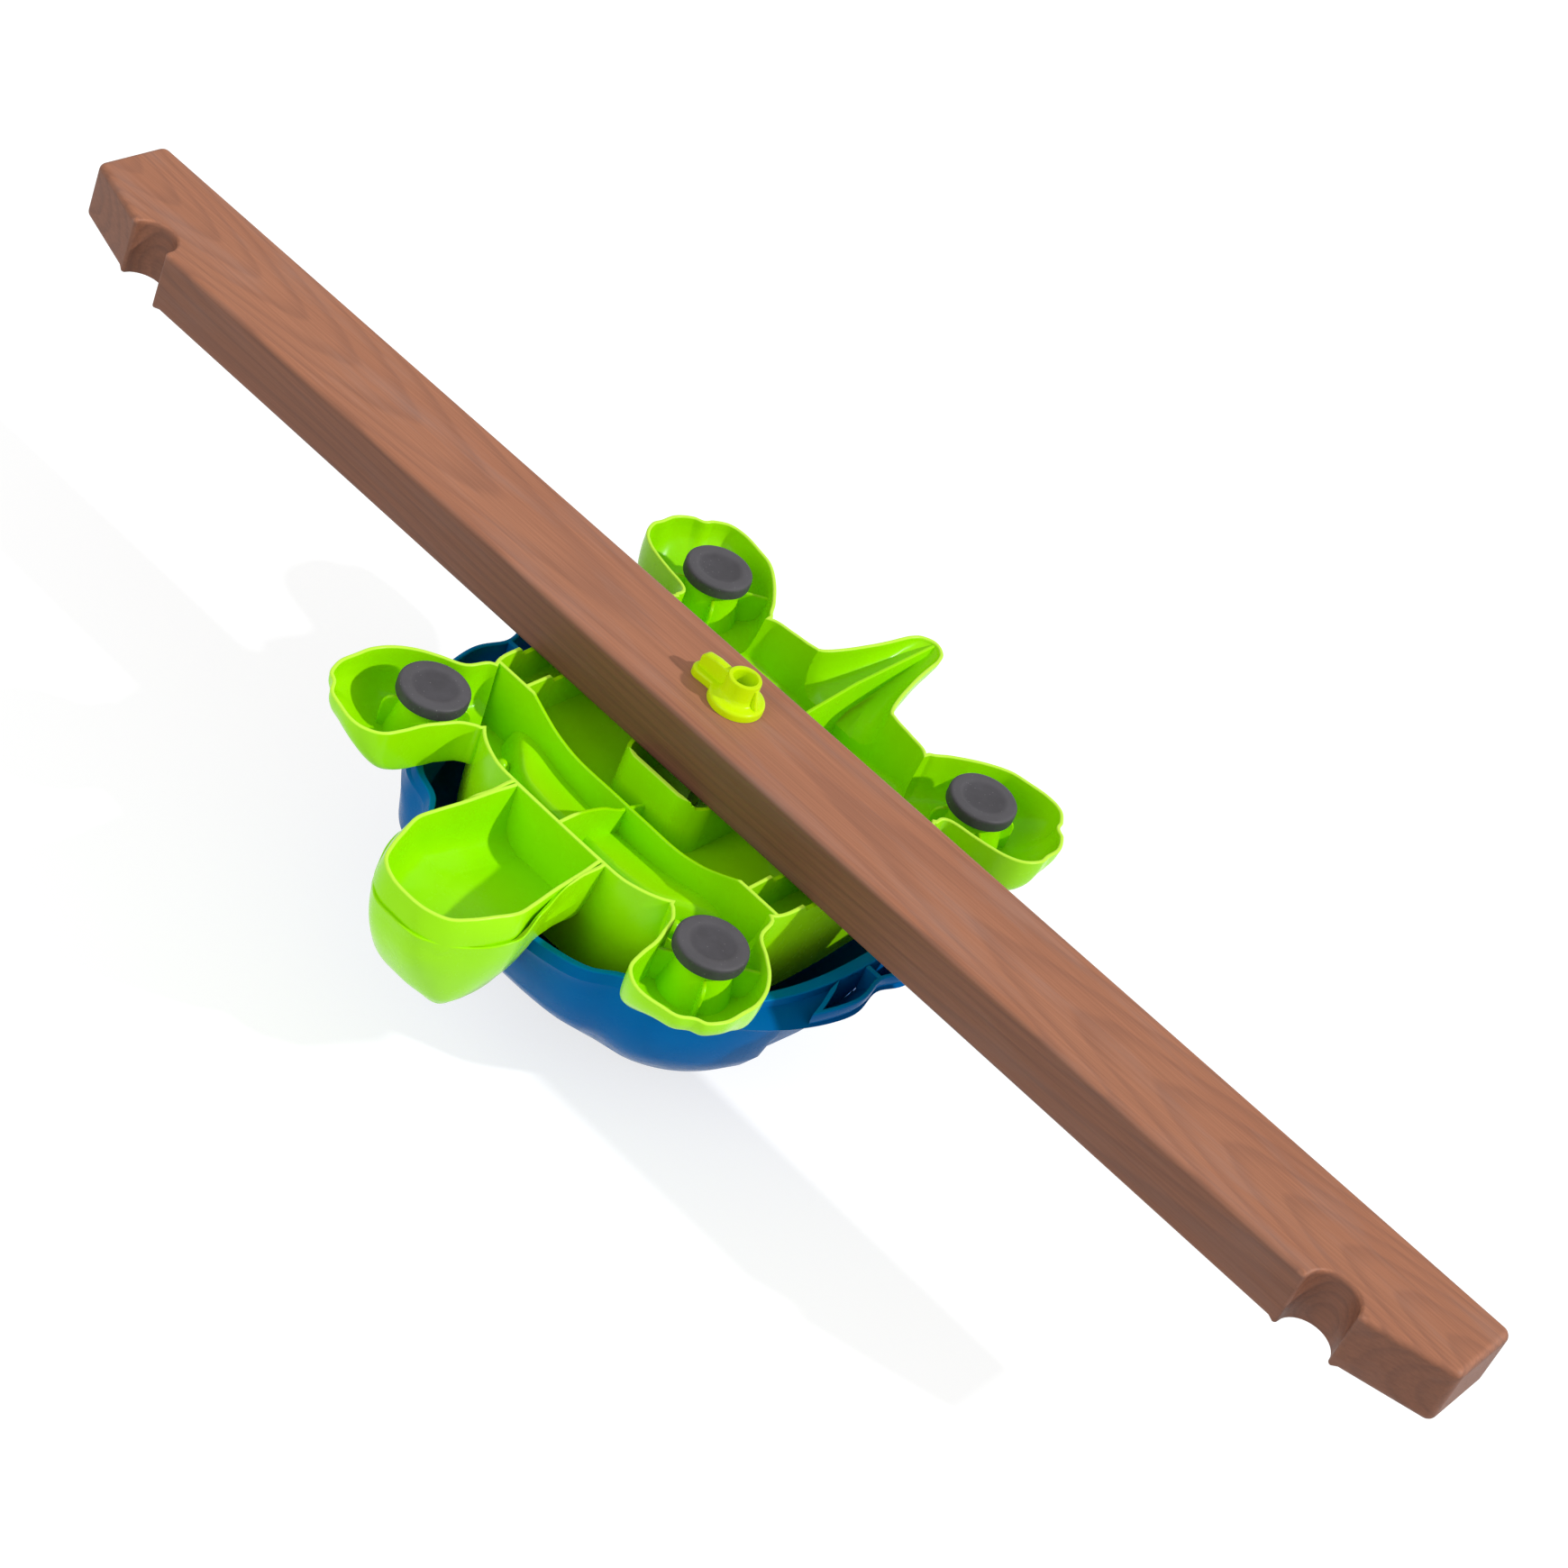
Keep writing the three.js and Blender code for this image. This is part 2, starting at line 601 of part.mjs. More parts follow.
// The tub, the space inside it over the floor, and the space inside the skirt under the floor
function makeTub() {
  const outline = tubOutline();
  const middle = new THREE.Vector2(0, 0);
  const skirtBottom = rimHeight - skirtDepth;
  const wallInset = wallThickness * slopedWallShare;
  const level = (inset, height) => (
    drawnIn(outline, middle, inset).map((p) => new THREE.Vector3(p.x, p.y, height)));
  const draftAtFloor = skirtDraft * (rimHeight - hubFloor) / skirtDepth;
  const floorEdge = drawnIn(outline, middle, wallInset + draftAtFloor);
  const floorRings = (drop) => floorRingShares.map((share) => floorEdge.map((p) => {
    const q = p.clone().multiplyScalar(share);
    return new THREE.Vector3(q.x, q.y, floorHeight(q.x) - drop);
  }));
  const tubOuter = ringSolid([level(0, rimHeight), level(skirtDraft, skirtBottom)]);
  const tubInside = ringSolid([level(wallInset, rimHeight + overrun), ...floorRings(0)]);
  const skirtInside = ringSolid([
    ...floorRings(wallThickness).reverse(),
    level(wallInset + skirtDraft, skirtBottom - overrun),
  ]);
  return { tubOuter, tubInside, skirtInside };
}

function makeTurtleBody() {
  const { tubOuter, tubInside, skirtInside } = makeTub();
  const legs = [
    ...makeLegPair(frontLegShares, frontLegRootShares, frontPadShares),
    ...makeLegPair(rearLegShares, rearLegRootShares, rearPadShares),
  ];
  const tail = makeTail();
  const head = makeHead();

  const formsOuter = joined([...legs.map((leg) => leg.outer), tail.outer]);
  const outer = joined([tubOuter, formsOuter, head.trayOuter]);
  const inside = joined([tubInside, ...legs.map((leg) => leg.inside), tail.inside, head.trayInside]);

  const hubSpace = prism(hubOutline(wallThickness), hubFloor, rimHeight + overrun);
  const hubWall = prism(hubOutline(0), hubFloor - wallThickness / 2, rimHeight).subtract(hubSpace);
  const ribs = makeRibs().subtract(hubSpace);
  const posts = joined(legs.map(makePost));
  const inner = joined([hubWall, ribs, posts]).intersect(outer);

  const sleeves = screwPlaces.map((p) => (
    rod(screwSleeveRadius, screwSeatHeight, screwSeatTop(p), p.x, p.y, smallCircleSteps)));
  const socket = rod(hubBossRadius, boltSocketBottom, hubFloor);

  const wide = bodyHalfWidth * 2;
  const halfSaddle = saddleWidth / 2;
  const saddle = box(-wide, wide, -halfSaddle, halfSaddle, beamBottom - seatGap, beamTop);
  const headPocket = hexRod(
    hexAcrossFlats + runningClearance * 2, boltSocketBottom - overrun, boltSeat,
  );
  const boltHole = rod(boltRadius + boltClearance, boltSocketBottom, beamTop, 0, 0, smallCircleSteps);
  const screwHole = screwShankRadius + runningClearance;
  const screwHoles = screwPlaces.map((p) => (
    rod(screwHole, screwSeatHeight - overrun, beamTop, p.x, p.y, smallCircleSteps)));
  const plugHole = padPlugRadius + runningClearance;
  const plugLow = padTopHeight - padThickness - padPlugLength - seatGap * 2;
  const plugHoles = legs.map(({ centre }) => (
    rod(plugHole, plugLow, rimHeight + overrun, centre.x, centre.y, smallCircleSteps)));

  let body = outer.subtract(inside).add(inner);
  body = body.subtract(skirtInside.subtract(formsOuter));
  body = joined([body, head.cupShell.subtract(tubOuter), ...sleeves, socket]);
  return body.subtract(joined([saddle, headPocket, boltHole, ...screwHoles, ...plugHoles]));
}

// Shell

// The shell is a lobed bowl. Its outline is an oval with six shallow valleys, and turns squarer lower down.
const shellSteps = 48;
const valleyCount = 6;
const valleySharpness = 12;
const rimSquareness = 2.1;
// Each ring: its share of the half width, of the half length and of the depth, and how square it is
const shellProfileShares = [
  [0.925, 0.975, 0.08, 2.1], [0.87, 0.94, 0.22, 2], [0.845, 0.9, 0.36, 2.1],
  [0.8, 0.82, 0.5, 2.4], [0.74, 0.715, 0.645, 2.8], [0.64, 0.62, 0.787, 2.9],
  [0.49, 0.47, 0.915, 2.8], [0.34, 0.33, 0.97, 2.4],
];

function ovalRadius(angle, halfWidth, halfLength, squareness) {
  const c = Math.abs(Math.cos(angle) / halfWidth);
  const s = Math.abs(Math.sin(angle) / halfLength);
  return (c ** squareness + s ** squareness) ** (-1 / squareness);
}

function roundRing(radiusAt, height) {
  const ring = [];
  for (let i = 0; i < shellSteps; i += 1) {
    const angle = (i / shellSteps) * Math.PI * 2;
    const radius = radiusAt(angle);
    ring.push(new THREE.Vector3(radius * Math.cos(angle), radius * Math.sin(angle), height));
  }
  return ring;
}

// The lobed bowl, drawn in by an inset all over
function lobedBowl(inset) {
  const lipLow = shellRimHeight - shellLipHeight;
  const radiusAt = (widthShare, lengthShare, squareness) => (angle) => {
    const valley = shellValleyDepth * Math.abs(Math.cos(valleyCount * angle / 2)) ** valleySharpness;
    const oval = ovalRadius(angle, petalHalfWidth * widthShare, shellHalfLength * lengthShare, squareness);
    return oval - valley * widthShare - inset;
  };
  const rings = [
    roundRing(radiusAt(1, 1, rimSquareness), shellRimHeight + (inset > 0 ? overrun : 0)),
    roundRing(radiusAt(1, 1, rimSquareness), lipLow),
    ...shellProfileShares.map(([widthShare, lengthShare, depthShare, squareness]) => {
      const height = lipLow * (1 - depthShare) + inset * depthShare;
      return roundRing(radiusAt(widthShare, lengthShare, squareness), height);
    }),
    roundRing(() => shellCrownRadius, inset),
  ];
  return ringSolid(rings);
}

// The upright oval wall inside the petals
function ovalWall(inset, low) {
  const radiusAt = (share) => (angle) => (
    ovalRadius(angle, shellHalfWidth, shellHalfLength, rimSquareness) * share - inset);
  return ringSolid([
    roundRing(radiusAt(1), shellRimHeight + overrun),
    roundRing(radiusAt(1), shellRimHeight - shellLipHeight),
    roundRing(radiusAt(ovalFootShare), low),
  ]);
}

function makeShell() {
  const floorTop = shellRimHeight - petalDepth;
  const floorLow = floorTop - shellWall;
  const wide = petalHalfWidth + overrun;
  const outer = lobedBowl(0);
  const hollow = lobedBowl(shellWall);
  const below = hollow.intersect(box(-wide, wide, -shellHalfLength, shellHalfLength, 0, floorLow));
  const within = hollow.intersect(ovalWall(shellWall, floorLow - overrun));
  const high = shellRimHeight + overrun;
  const petalSpace = box(-wide, wide, -petalHalfSpan, petalHalfSpan, floorTop, high)
    .subtract(box(-wide, wide, -shellWall, shellWall, floorTop - overrun, high + overrun));
  const pockets = hollow.intersect(petalSpace).subtract(ovalWall(0, floorTop - overrun));
  const bosses = screwPlaces.map((p) => (
    rod(screwSleeveRadius, shellWall, screwSeatHeight, p.x, p.y, smallCircleSteps)));
  const pilot = screwShankRadius + runningClearance;
  const pilotLow = screwSeatHeight - screwGrip;
  const pilots = screwPlaces.map((p) => rod(pilot, pilotLow, high, p.x, p.y, smallCircleSteps));
  const shell = outer.subtract(joined([below, within, pockets]));
  return shell.add(joined(bosses).intersect(outer)).subtract(joined(pilots));
}

// Pads, fasteners and knob

function makePad(centre) {
  const top = padTopHeight;
  const low = top - padThickness;
  const profile = [
    [0, top - padDishDepth],
    [padDishRadius - padEdgeRound * 3, top - padDishDepth],
    [padDishRadius, top],
    [padRadius - padEdgeRound, top],
    [padRadius, top - padEdgeRound],
    [padRadius, low],
    [padPlugRadius, low],
    [padPlugRadius, low - padPlugLength],
    [0, low - padPlugLength],
  ];
  return turned(profile).translate([centre.x, centre.y, 0]);
}

const nutBottom = beamTop + seatGap + washerThickness + seatGap + knobWebUnderNut;
const nutTop = nutBottom + nutHeight;
const boltEnd = nutTop + boltEndOverNut;

function makeBolt() {
  const head = hexRod(hexAcrossFlats, boltSeat - seatGap - boltHeadHeight, boltSeat - seatGap);
  const shank = rod(boltRadius, boltSeat - seatGap - boltHeadHeight / 2, boltEnd, 0, 0, smallCircleSteps);
  return head.add(shank);
}

function makeNut() {
  const hole = rod(
    boltRadius + runningClearance, nutBottom - overrun, nutTop + overrun, 0, 0, smallCircleSteps,
  );
  return hexRod(hexAcrossFlats, nutBottom, nutTop).subtract(hole);
}

function makeWasher() {
  const low = beamTop + seatGap;
  const high = low + washerThickness;
  const hole = rod(boltRadius + boltClearance, low - overrun, high + overrun, 0, 0, smallCircleSteps);
  return rod(washerRadius, low, high).subtract(hole);
}

// Side view of the wing's blade: shares of its reach, and how far its top lies under the wing's top
const bladeShares = [[0.6, 0], [0.85, 0.3], [0.93, 1]];
const footHalfWidth = 9.5;
const footWaistHalfWidth = 8;

function makeKnob() {
  const low = beamTop + seatGap;
  const top = low + knobHeight;
  const flangeTop = low + knobFlangeHeight;
  const round = knobFlangeHeight / 3;
  const flange = turned([
    [0, low],
    [knobFlangeRadius - round, low],
    [knobFlangeRadius, low + round],
    [knobFlangeRadius, flangeTop - round],
    [knobFlangeRadius - round, flangeTop],
    [0, flangeTop],
  ]);
  const barrel = rod(knobBarrelRadius, low, top);

  const footX = -knobWingReach + footHalfWidth;
  const foot = new THREE.Shape();
  foot.moveTo(-knobBarrelRadius, footHalfWidth);
  foot.lineTo(-knobFlangeRadius, footWaistHalfWidth);
  foot.absarc(footX, 0, footHalfWidth, Math.PI / 2, Math.PI * 1.5);
  foot.lineTo(-knobFlangeRadius, -footWaistHalfWidth);
  foot.lineTo(-knobBarrelRadius, -footHalfWidth);
  const footPlate = prism(foot.getPoints(circleSteps / 2), low, flangeTop);

  const bladeTop = low + knobWingHeight;
  const bladeEnd = bladeShares.map(([reach, drop]) => (
    new THREE.Vector2(-knobWingReach * reach, bladeTop - knobFlangeHeight * drop)));
  const blade = plateAcrossY([
    new THREE.Vector2(-knobBoreRadius, low),
    new THREE.Vector2(-knobBoreRadius, bladeTop),
    ...bladeEnd,
    new THREE.Vector2(bladeEnd[bladeEnd.length - 1].x, low),
  ], 0, knobWingThickness);
  const gusset = plateAcrossY([
    new THREE.Vector2(knobBoreRadius, low),
    new THREE.Vector2(knobFlangeRadius - round, low),
    new THREE.Vector2(knobFlangeRadius - round, flangeTop),
    new THREE.Vector2(knobBarrelRadius, top - round),
    new THREE.Vector2(knobBoreRadius, top - round),
  ], 0, knobWingThickness / 2);

  const recess = rod(washerRadius + runningClearance, low - overrun, low + washerThickness + seatGap);
  const boltHole = rod(boltRadius + boltClearance, low, nutBottom, 0, 0, smallCircleSteps);
  const pocketWidth = hexAcrossFlats + runningClearance * 2;
  const nutPocket = hexRod(pocketWidth, nutBottom - seatGap, nutTop + seatGap);
  const bore = rod(knobBoreRadius, nutTop, top + overrun);
  return joined([flange, barrel, footPlate, blade, gusset])
    .subtract(joined([recess, boltHole, nutPocket, bore]));
}

function makeScrew(p) {
  const seat = screwSeatTop(p) + seatGap;
  const top = seat + screwHeadHeight;
  const head = turned([
    [0, seat],
    [screwHeadRadius, seat],
    [screwHeadRadius, seat + screwHeadHeight / 2],
    [screwHeadRadius - screwHeadHeight / 2, top],
    [0, top],
  ], smallCircleSteps).translate([p.x, p.y, 0]);
  const tip = screwSeatHeight - screwGrip + seatGap * 3;
  const shankTop = seat + screwHeadHeight / 2;
  return head.add(rod(screwShankRadius, tip, shankTop, p.x, p.y, smallCircleSteps));
}

// Assembly

const finishes = {
  wood: { color: colours.wood, roughness: 0.7, metalness: 0 },
  lime: { color: colours.lime, roughness: 0.35, metalness: 0 },
  knob: { color: colours.knob, roughness: 0.35, metalness: 0 },
  blue: { color: colours.blue, roughness: 0.4, metalness: 0 },
  rubber: { color: colours.rubber, roughness: 0.85, metalness: 0 },
  steel: { color: colours.steel, roughness: 0.3, metalness: 1 },
};

const board = new THREE.Group();

function addPiece(name, solid, finish) {
  const mesh = new THREE.Mesh(toGeometry(solid), new THREE.MeshStandardMaterial(finishes[finish]));
  mesh.name = name;
  board.add(mesh);
}

const padPlaces = {
  front_left: place([-frontPadShares[0], frontPadShares[1]]),
  front_right: place(frontPadShares),
  rear_left: place([-rearPadShares[0], rearPadShares[1]]),
  rear_right: place(rearPadShares),
};

addPiece('shell', makeShell(), 'blue');
addPiece('turtle_body', makeTurtleBody(), 'lime');
Object.entries(padPlaces).forEach(([corner, centre]) => {
  addPiece(`foot_pad_${corner}`, makePad(centre), 'rubber');
});
screwPlaces.forEach((p, i) => addPiece(`shell_screw_${i + 1}`, makeScrew(p), 'steel'));
addPiece('clamp_bolt', makeBolt(), 'steel');
addPiece('beam', makeBeam(), 'wood');
addPiece('knob_washer', makeWasher(), 'steel');
addPiece('knob_nut', makeNut(), 'steel');
addPiece('clamp_knob', makeKnob(), 'knob');

export default board;
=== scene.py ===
# Rocking balance board: a stained timber beam clamped across a plastic turtle that lies on its back.
# Metres, +Z up. +X runs along the beam and -Y points to the turtle's head. Tables are in millimetres.
import math

import bmesh
import bpy
import numpy as np
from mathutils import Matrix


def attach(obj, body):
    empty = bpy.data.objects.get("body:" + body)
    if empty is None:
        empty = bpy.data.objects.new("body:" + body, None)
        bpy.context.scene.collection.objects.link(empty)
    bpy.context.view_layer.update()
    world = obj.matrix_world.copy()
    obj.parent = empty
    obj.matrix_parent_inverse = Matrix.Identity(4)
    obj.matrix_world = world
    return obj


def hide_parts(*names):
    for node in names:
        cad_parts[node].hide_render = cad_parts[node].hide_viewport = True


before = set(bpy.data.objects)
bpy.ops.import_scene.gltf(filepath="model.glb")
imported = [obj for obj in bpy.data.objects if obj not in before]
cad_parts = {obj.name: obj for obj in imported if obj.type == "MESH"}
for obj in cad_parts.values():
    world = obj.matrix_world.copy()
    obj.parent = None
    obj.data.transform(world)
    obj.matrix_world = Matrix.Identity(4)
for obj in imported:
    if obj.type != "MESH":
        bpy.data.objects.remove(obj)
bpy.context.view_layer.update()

# Camera
# It stands in front of the turtle's head, a little to its right, and looks down on the board.
camera_data = bpy.data.cameras.new("camera")
camera_data.sensor_width = 36
camera_data.lens = 83.7066
camera_data.clip_end = 40
camera = bpy.data.objects.new("camera", camera_data)
camera.location = (0.95944, -1.79109, 1.7924)
camera.rotation_euler = [math.radians(a) for a in (49.2749, -19.1389, 42.3879)]
bpy.context.scene.collection.objects.link(camera)
bpy.context.scene.camera = camera
bpy.context.scene.view_settings.view_transform = "Standard"

# Floor and light
# A pale seamless floor under a low sun from the right, a soft lamp in front, and an even white room.
mm = 0.001


def skin(name, points, faces):
    """Mesh object from an array of points in millimetres and lists of point numbers."""
    mesh = bpy.data.meshes.new(name)
    mesh.from_pydata((np.asarray(points, float) * mm).tolist(), [], faces)
    piece = bpy.data.objects.new(name, mesh)
    bpy.context.scene.collection.objects.link(piece)
    return piece


def material(name, **sockets):
    """Node material with a Principled shader, whose constant sockets are set straight on it."""
    made = bpy.data.materials.new(name)
    made.use_nodes = True
    shader = made.node_tree.nodes["Principled BSDF"]
    for socket, value in sockets.items():
        shader.inputs[socket.replace("_", " ")].default_value = value
    return made, made.node_tree.nodes, made.node_tree.links, shader


floor_half = 9000
floor_corners = [(-floor_half, -floor_half, -0.2), (floor_half, -floor_half, -0.2),
                 (floor_half, floor_half, -0.2), (-floor_half, floor_half, -0.2)]
floor = skin("floor", floor_corners, [[0, 1, 2, 3]])
floor_paint, nodes, links, shader = material(
    "floor_paint", Base_Color=(0.8, 0.8, 0.8, 1), Roughness=0.9, Specular_IOR_Level=0.1)
bright = nodes.new("ShaderNodeEmission")
bright.inputs["Strength"].default_value = 0.72
shaded = nodes.new("ShaderNodeBsdfDiffuse")
shaded.inputs["Color"].default_value = (0.42, 0.42, 0.42, 1)
sheet = nodes.new("ShaderNodeAddShader")
links.new(bright.outputs[0], sheet.inputs[0])
links.new(shaded.outputs[0], sheet.inputs[1])
path = nodes.new("ShaderNodeLightPath")
seen = nodes.new("ShaderNodeMath")
seen.operation = "MAXIMUM"
links.new(path.outputs["Is Camera Ray"], seen.inputs[0])
links.new(path.outputs["Is Glossy Ray"], seen.inputs[1])
choose = nodes.new("ShaderNodeMixShader")
links.new(seen.outputs[0], choose.inputs[0])
links.new(shader.outputs[0], choose.inputs[1])
links.new(sheet.outputs[0], choose.inputs[2])
links.new(choose.outputs[0], nodes["Material Output"].inputs["Surface"])
floor.data.materials.append(floor_paint)

room = bpy.data.worlds.new("room")
bpy.context.scene.world = room
room.use_nodes = True
nodes, links = room.node_tree.nodes, room.node_tree.links
air = nodes["Background"]
air.inputs["Color"].default_value = (1, 1, 1, 1)
air.inputs["Strength"].default_value = 0.55
backdrop = nodes.new("ShaderNodeBackground")
path = nodes.new("ShaderNodeLightPath")
choose = nodes.new("ShaderNodeMixShader")
links.new(path.outputs["Is Camera Ray"], choose.inputs[0])
links.new(air.outputs[0], choose.inputs[1])
links.new(backdrop.outputs[0], choose.inputs[2])
links.new(choose.outputs[0], nodes["World Output"].inputs["Surface"])

sun_turn, sun_height = math.radians(20), math.radians(38)
sunward = (math.cos(sun_turn) * math.cos(sun_height), math.sin(sun_turn) * math.cos(sun_height),
           math.sin(sun_height))
lamps = [
    ("key_light", "SUN", sunward, math.radians(2.2), 2.1),
    ("front_light", "AREA", (-0.5, -2.6, 1.7), 1.8, 26),
]
for name, kind, place, size, power in lamps:
    lamp = bpy.data.lights.new(name, kind)
    lamp.energy = power
    if kind == "SUN":
        lamp.angle = size
    else:
        lamp.size = size
    stand = bpy.data.objects.new(name, lamp)
    stand.location = place
    stand.rotation_euler = (math.atan2(math.hypot(place[0], place[1]), place[2]), 0,
                            math.atan2(place[1], place[0]) + math.pi / 2)
    bpy.context.scene.collection.objects.link(stand)

# Beam
# Planed softwood, 1360 x 95 x 50 mm, stained red brown. Every edge is rounded over, a strap notch is
# bored at each end of the front side, and the ends taper.


def spline(points, steps, closed=True):
    """Smooth curve through points: cubic spans whose tangent at a point lies along the chord between
    its neighbours and is as long as the span."""
    p = np.asarray(points, float)
    after, before = np.roll(p, -1, 0), np.roll(p, 1, 0)
    if not closed:
        after[-1], before[0] = p[-1], p[0]
    heading = after - before
    heading /= np.linalg.norm(heading, axis=1, keepdims=True)
    span = np.linalg.norm(after - p, axis=1, keepdims=True)
    s = np.linspace(0, 1, steps, endpoint=False)[None, :, None]
    leave, arrive = (heading * span)[:, None], (np.roll(heading, -1, 0) * span)[:, None]
    curve = ((2 * s**3 - 3 * s**2 + 1) * p[:, None] + (s**3 - 2 * s**2 + s) * leave
             + (3 * s**2 - 2 * s**3) * after[:, None] + (s**3 - s**2) * arrive)
    if closed:
        return curve.reshape(-1, p.shape[1])
    return np.vstack([curve[:-1].reshape(-1, p.shape[1]), p[-1:]])


def inset(loop, distance):
    """Anticlockwise loop moved inwards along its normals: each point goes by the distance over the
    cosine of half the turn there."""
    ahead = np.roll(loop, -1, 0) - loop
    ahead /= np.maximum(1e-9, np.linalg.norm(ahead, axis=1, keepdims=True))
    normal = np.column_stack([ahead[:, 1], -ahead[:, 0]])
    both = normal + np.roll(normal, 1, 0)
    both *= 2 / np.maximum(1.2, (both**2).sum(1, keepdims=True))
    return loop - both * np.reshape(distance, (-1, 1))


def round_corners(corners, steps=6):
    """Closed outline whose corners are arcs. Each corner gives its place and its radius, and stays one
    point where the radius is 0."""
    count, outline = len(corners), []
    for i, (cx, cy, radius) in enumerate(corners):
        here = np.array([cx, cy], float)
        to_last = np.array(corners[i - 1][:2], float) - here
        to_next = np.array(corners[(i + 1) % count][:2], float) - here
        to_last /= np.linalg.norm(to_last)
        to_next /= np.linalg.norm(to_next)
        if radius == 0:
            outline.append(here[None])
            continue
        middle = (to_last + to_next) / np.linalg.norm(to_last + to_next)
        sine = math.sqrt((1 - to_last @ to_next) / 2)
        reach = radius * math.sqrt(1 - sine**2) / sine
        centre = here + middle * radius / sine
        s = np.linspace(0, 1, steps)[:, None]
        arm = (here + to_last * reach - centre) * (1 - s) + (here + to_next * reach - centre) * s
        outline.append(centre + arm * radius / np.linalg.norm(arm, axis=1, keepdims=True))
    return np.vstack(outline)


def lift(loop, height):
    """Flat loop given a height, which is one number or one for each point."""
    return np.column_stack([loop, np.broadcast_to(height, len(loop))])


def ring_skin(name, rings):
    """Closed skin through rings of as many points each, from the top to the lowest, with a face over
    both end rings."""
    rings = np.asarray(rings)
    rows, count = rings.shape[:2]
    number = np.arange(rows * count).reshape(rows, count)
    a, c = number[:-1], number[1:]
    sides = np.stack([a, c, np.roll(c, -1, 1), np.roll(a, -1, 1)], -1).reshape(-1, 4)
    piece = skin(name, rings.reshape(-1, 3),
                 sides.tolist() + [number[0].tolist(), number[-1][::-1].tolist()])
    shape = bmesh.new()
    shape.from_mesh(piece.data)
    bmesh.ops.recalc_face_normals(shape, faces=shape.faces)
    shape.to_mesh(piece.data)
    shape.free()
    return piece


def rod(name, radius, low, high, x=0, y=0, steps=48, foot=None):
    """Upright round bar or cone between two heights."""
    angle = np.arange(steps) * 2 * math.pi / steps
    unit = np.column_stack([np.cos(angle), np.sin(angle)])
    foot = radius if foot is None else foot
    return ring_skin(name, [lift(unit * radius + (x, y), high), lift(unit * foot + (x, y), low)])


def work(piece, tools, operation):
    """Joins, cuts or trims a closed skin by others, which are used up."""
    for tool in tools:
        step = piece.modifiers.new(tool.name, "BOOLEAN")
        step.operation = operation
        step.solver = "MANIFOLD"
        step.object = tool
    graph = bpy.context.evaluated_depsgraph_get()
    mesh = bpy.data.meshes.new_from_object(piece.evaluated_get(graph))
    piece.modifiers.clear()
    old, piece.data = piece.data, mesh
    bpy.data.meshes.remove(old)
    for tool in tools:
        spent = tool.data
        bpy.data.objects.remove(tool)
        bpy.data.meshes.remove(spent)
    return piece


def twin(piece):
    """Copy of a skin, to be used up as a tool."""
    other = piece.copy()
    other.data = piece.data.copy()
    bpy.context.scene.collection.objects.link(other)
    return other


def finish(piece, name, paint, body, node, crease=35):
    """Names a piece, shades it smooth up to the crease angle, and hangs it on its body."""
    piece.name = piece.data.name = name
    piece.data.materials.clear()
    piece.data.materials.append(paint)
    piece.data.shade_smooth()
    piece.data.set_sharp_from_angle(angle=math.radians(crease))
    even = piece.modifiers.new("even_shading", "WEIGHTED_NORMAL")
    even.keep_sharp = True
    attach(piece, body)
    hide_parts(*node)


def tune(nodes, kind, **values):
    """Adds a shader node and sets its properties and sockets by name."""
    node = nodes.new(kind)
    for key, value in values.items():
        if hasattr(node, key):
            setattr(node, key, value)
        else:
            node.inputs[key.replace("_", " ")].default_value = value
    return node


def sum_node(nodes, links, operation, first, second, third=None):
    """Math node whose inputs are sockets or plain numbers."""
    node = nodes.new("ShaderNodeMath")
    node.operation = operation
    for place, value in enumerate((first, second, third)):
        if isinstance(value, (int, float)):
            node.inputs[place].default_value = value
        elif value is not None:
            links.new(value, node.inputs[place])
    return node.outputs[0]


def blend_colour(nodes, links, factor, first, second, mode="MIX"):
    """Mix of two colours, each a socket or a plain colour."""
    node = nodes.new("ShaderNodeMix")
    node.data_type = "RGBA"
    node.blend_type = mode
    for place, value in (("Factor", factor), ("A", first), ("B", second)):
        socket = [s for s in node.inputs if s.name == place and s.type != "VECTOR"]
        socket = socket[0] if place == "Factor" else [s for s in socket if s.type == "RGBA"][0]
        if isinstance(value, (int, float)):
            socket.default_value = value
        elif isinstance(value, tuple):
            socket.default_value = (*value, 1)
        else:
            links.new(value, socket)
    return [s for s in node.outputs if s.type == "RGBA"][0]


def ramp(nodes, links, source, stops):
    """Colour ramp with a list of (position, grey or colour) stops."""
    node = nodes.new("ShaderNodeValToRGB")
    marks = node.color_ramp.elements
    while len(marks) < len(stops):
        marks.new(0.5)
    for mark, (position, value) in zip(marks, stops):
        mark.position = position
        mark.color = (value,) * 3 + (1,) if isinstance(value, (int, float)) else (*value, 1)
    links.new(source, node.inputs[0])
    return node.outputs[0]


def noise(nodes, links, place, scale, detail=3.0, size=(1, 1, 1), roughness=0.5):
    """Noise on Object coordinates, stretched by a scale along each axis."""
    stretch = nodes.new("ShaderNodeMapping")
    stretch.inputs["Scale"].default_value = size
    links.new(place, stretch.inputs["Vector"])
    node = nodes.new("ShaderNodeTexNoise")
    node.inputs["Scale"].default_value = scale
    node.inputs["Detail"].default_value = detail
    node.inputs["Roughness"].default_value = roughness
    links.new(stretch.outputs[0], node.inputs["Vector"])
    return node.outputs["Fac"]


def bump(nodes, links, shader, height, distance, strength=1.0, normal=None):
    """Bump node on a shader's normal."""
    node = nodes.new("ShaderNodeBump")
    node.inputs["Distance"].default_value = distance
    node.inputs["Strength"].default_value = strength
    links.new(height, node.inputs["Height"])
    if normal is not None:
        links.new(normal, node.inputs["Normal"])
    links.new(node.outputs[0], shader.inputs["Normal"])
    return node.outputs[0]


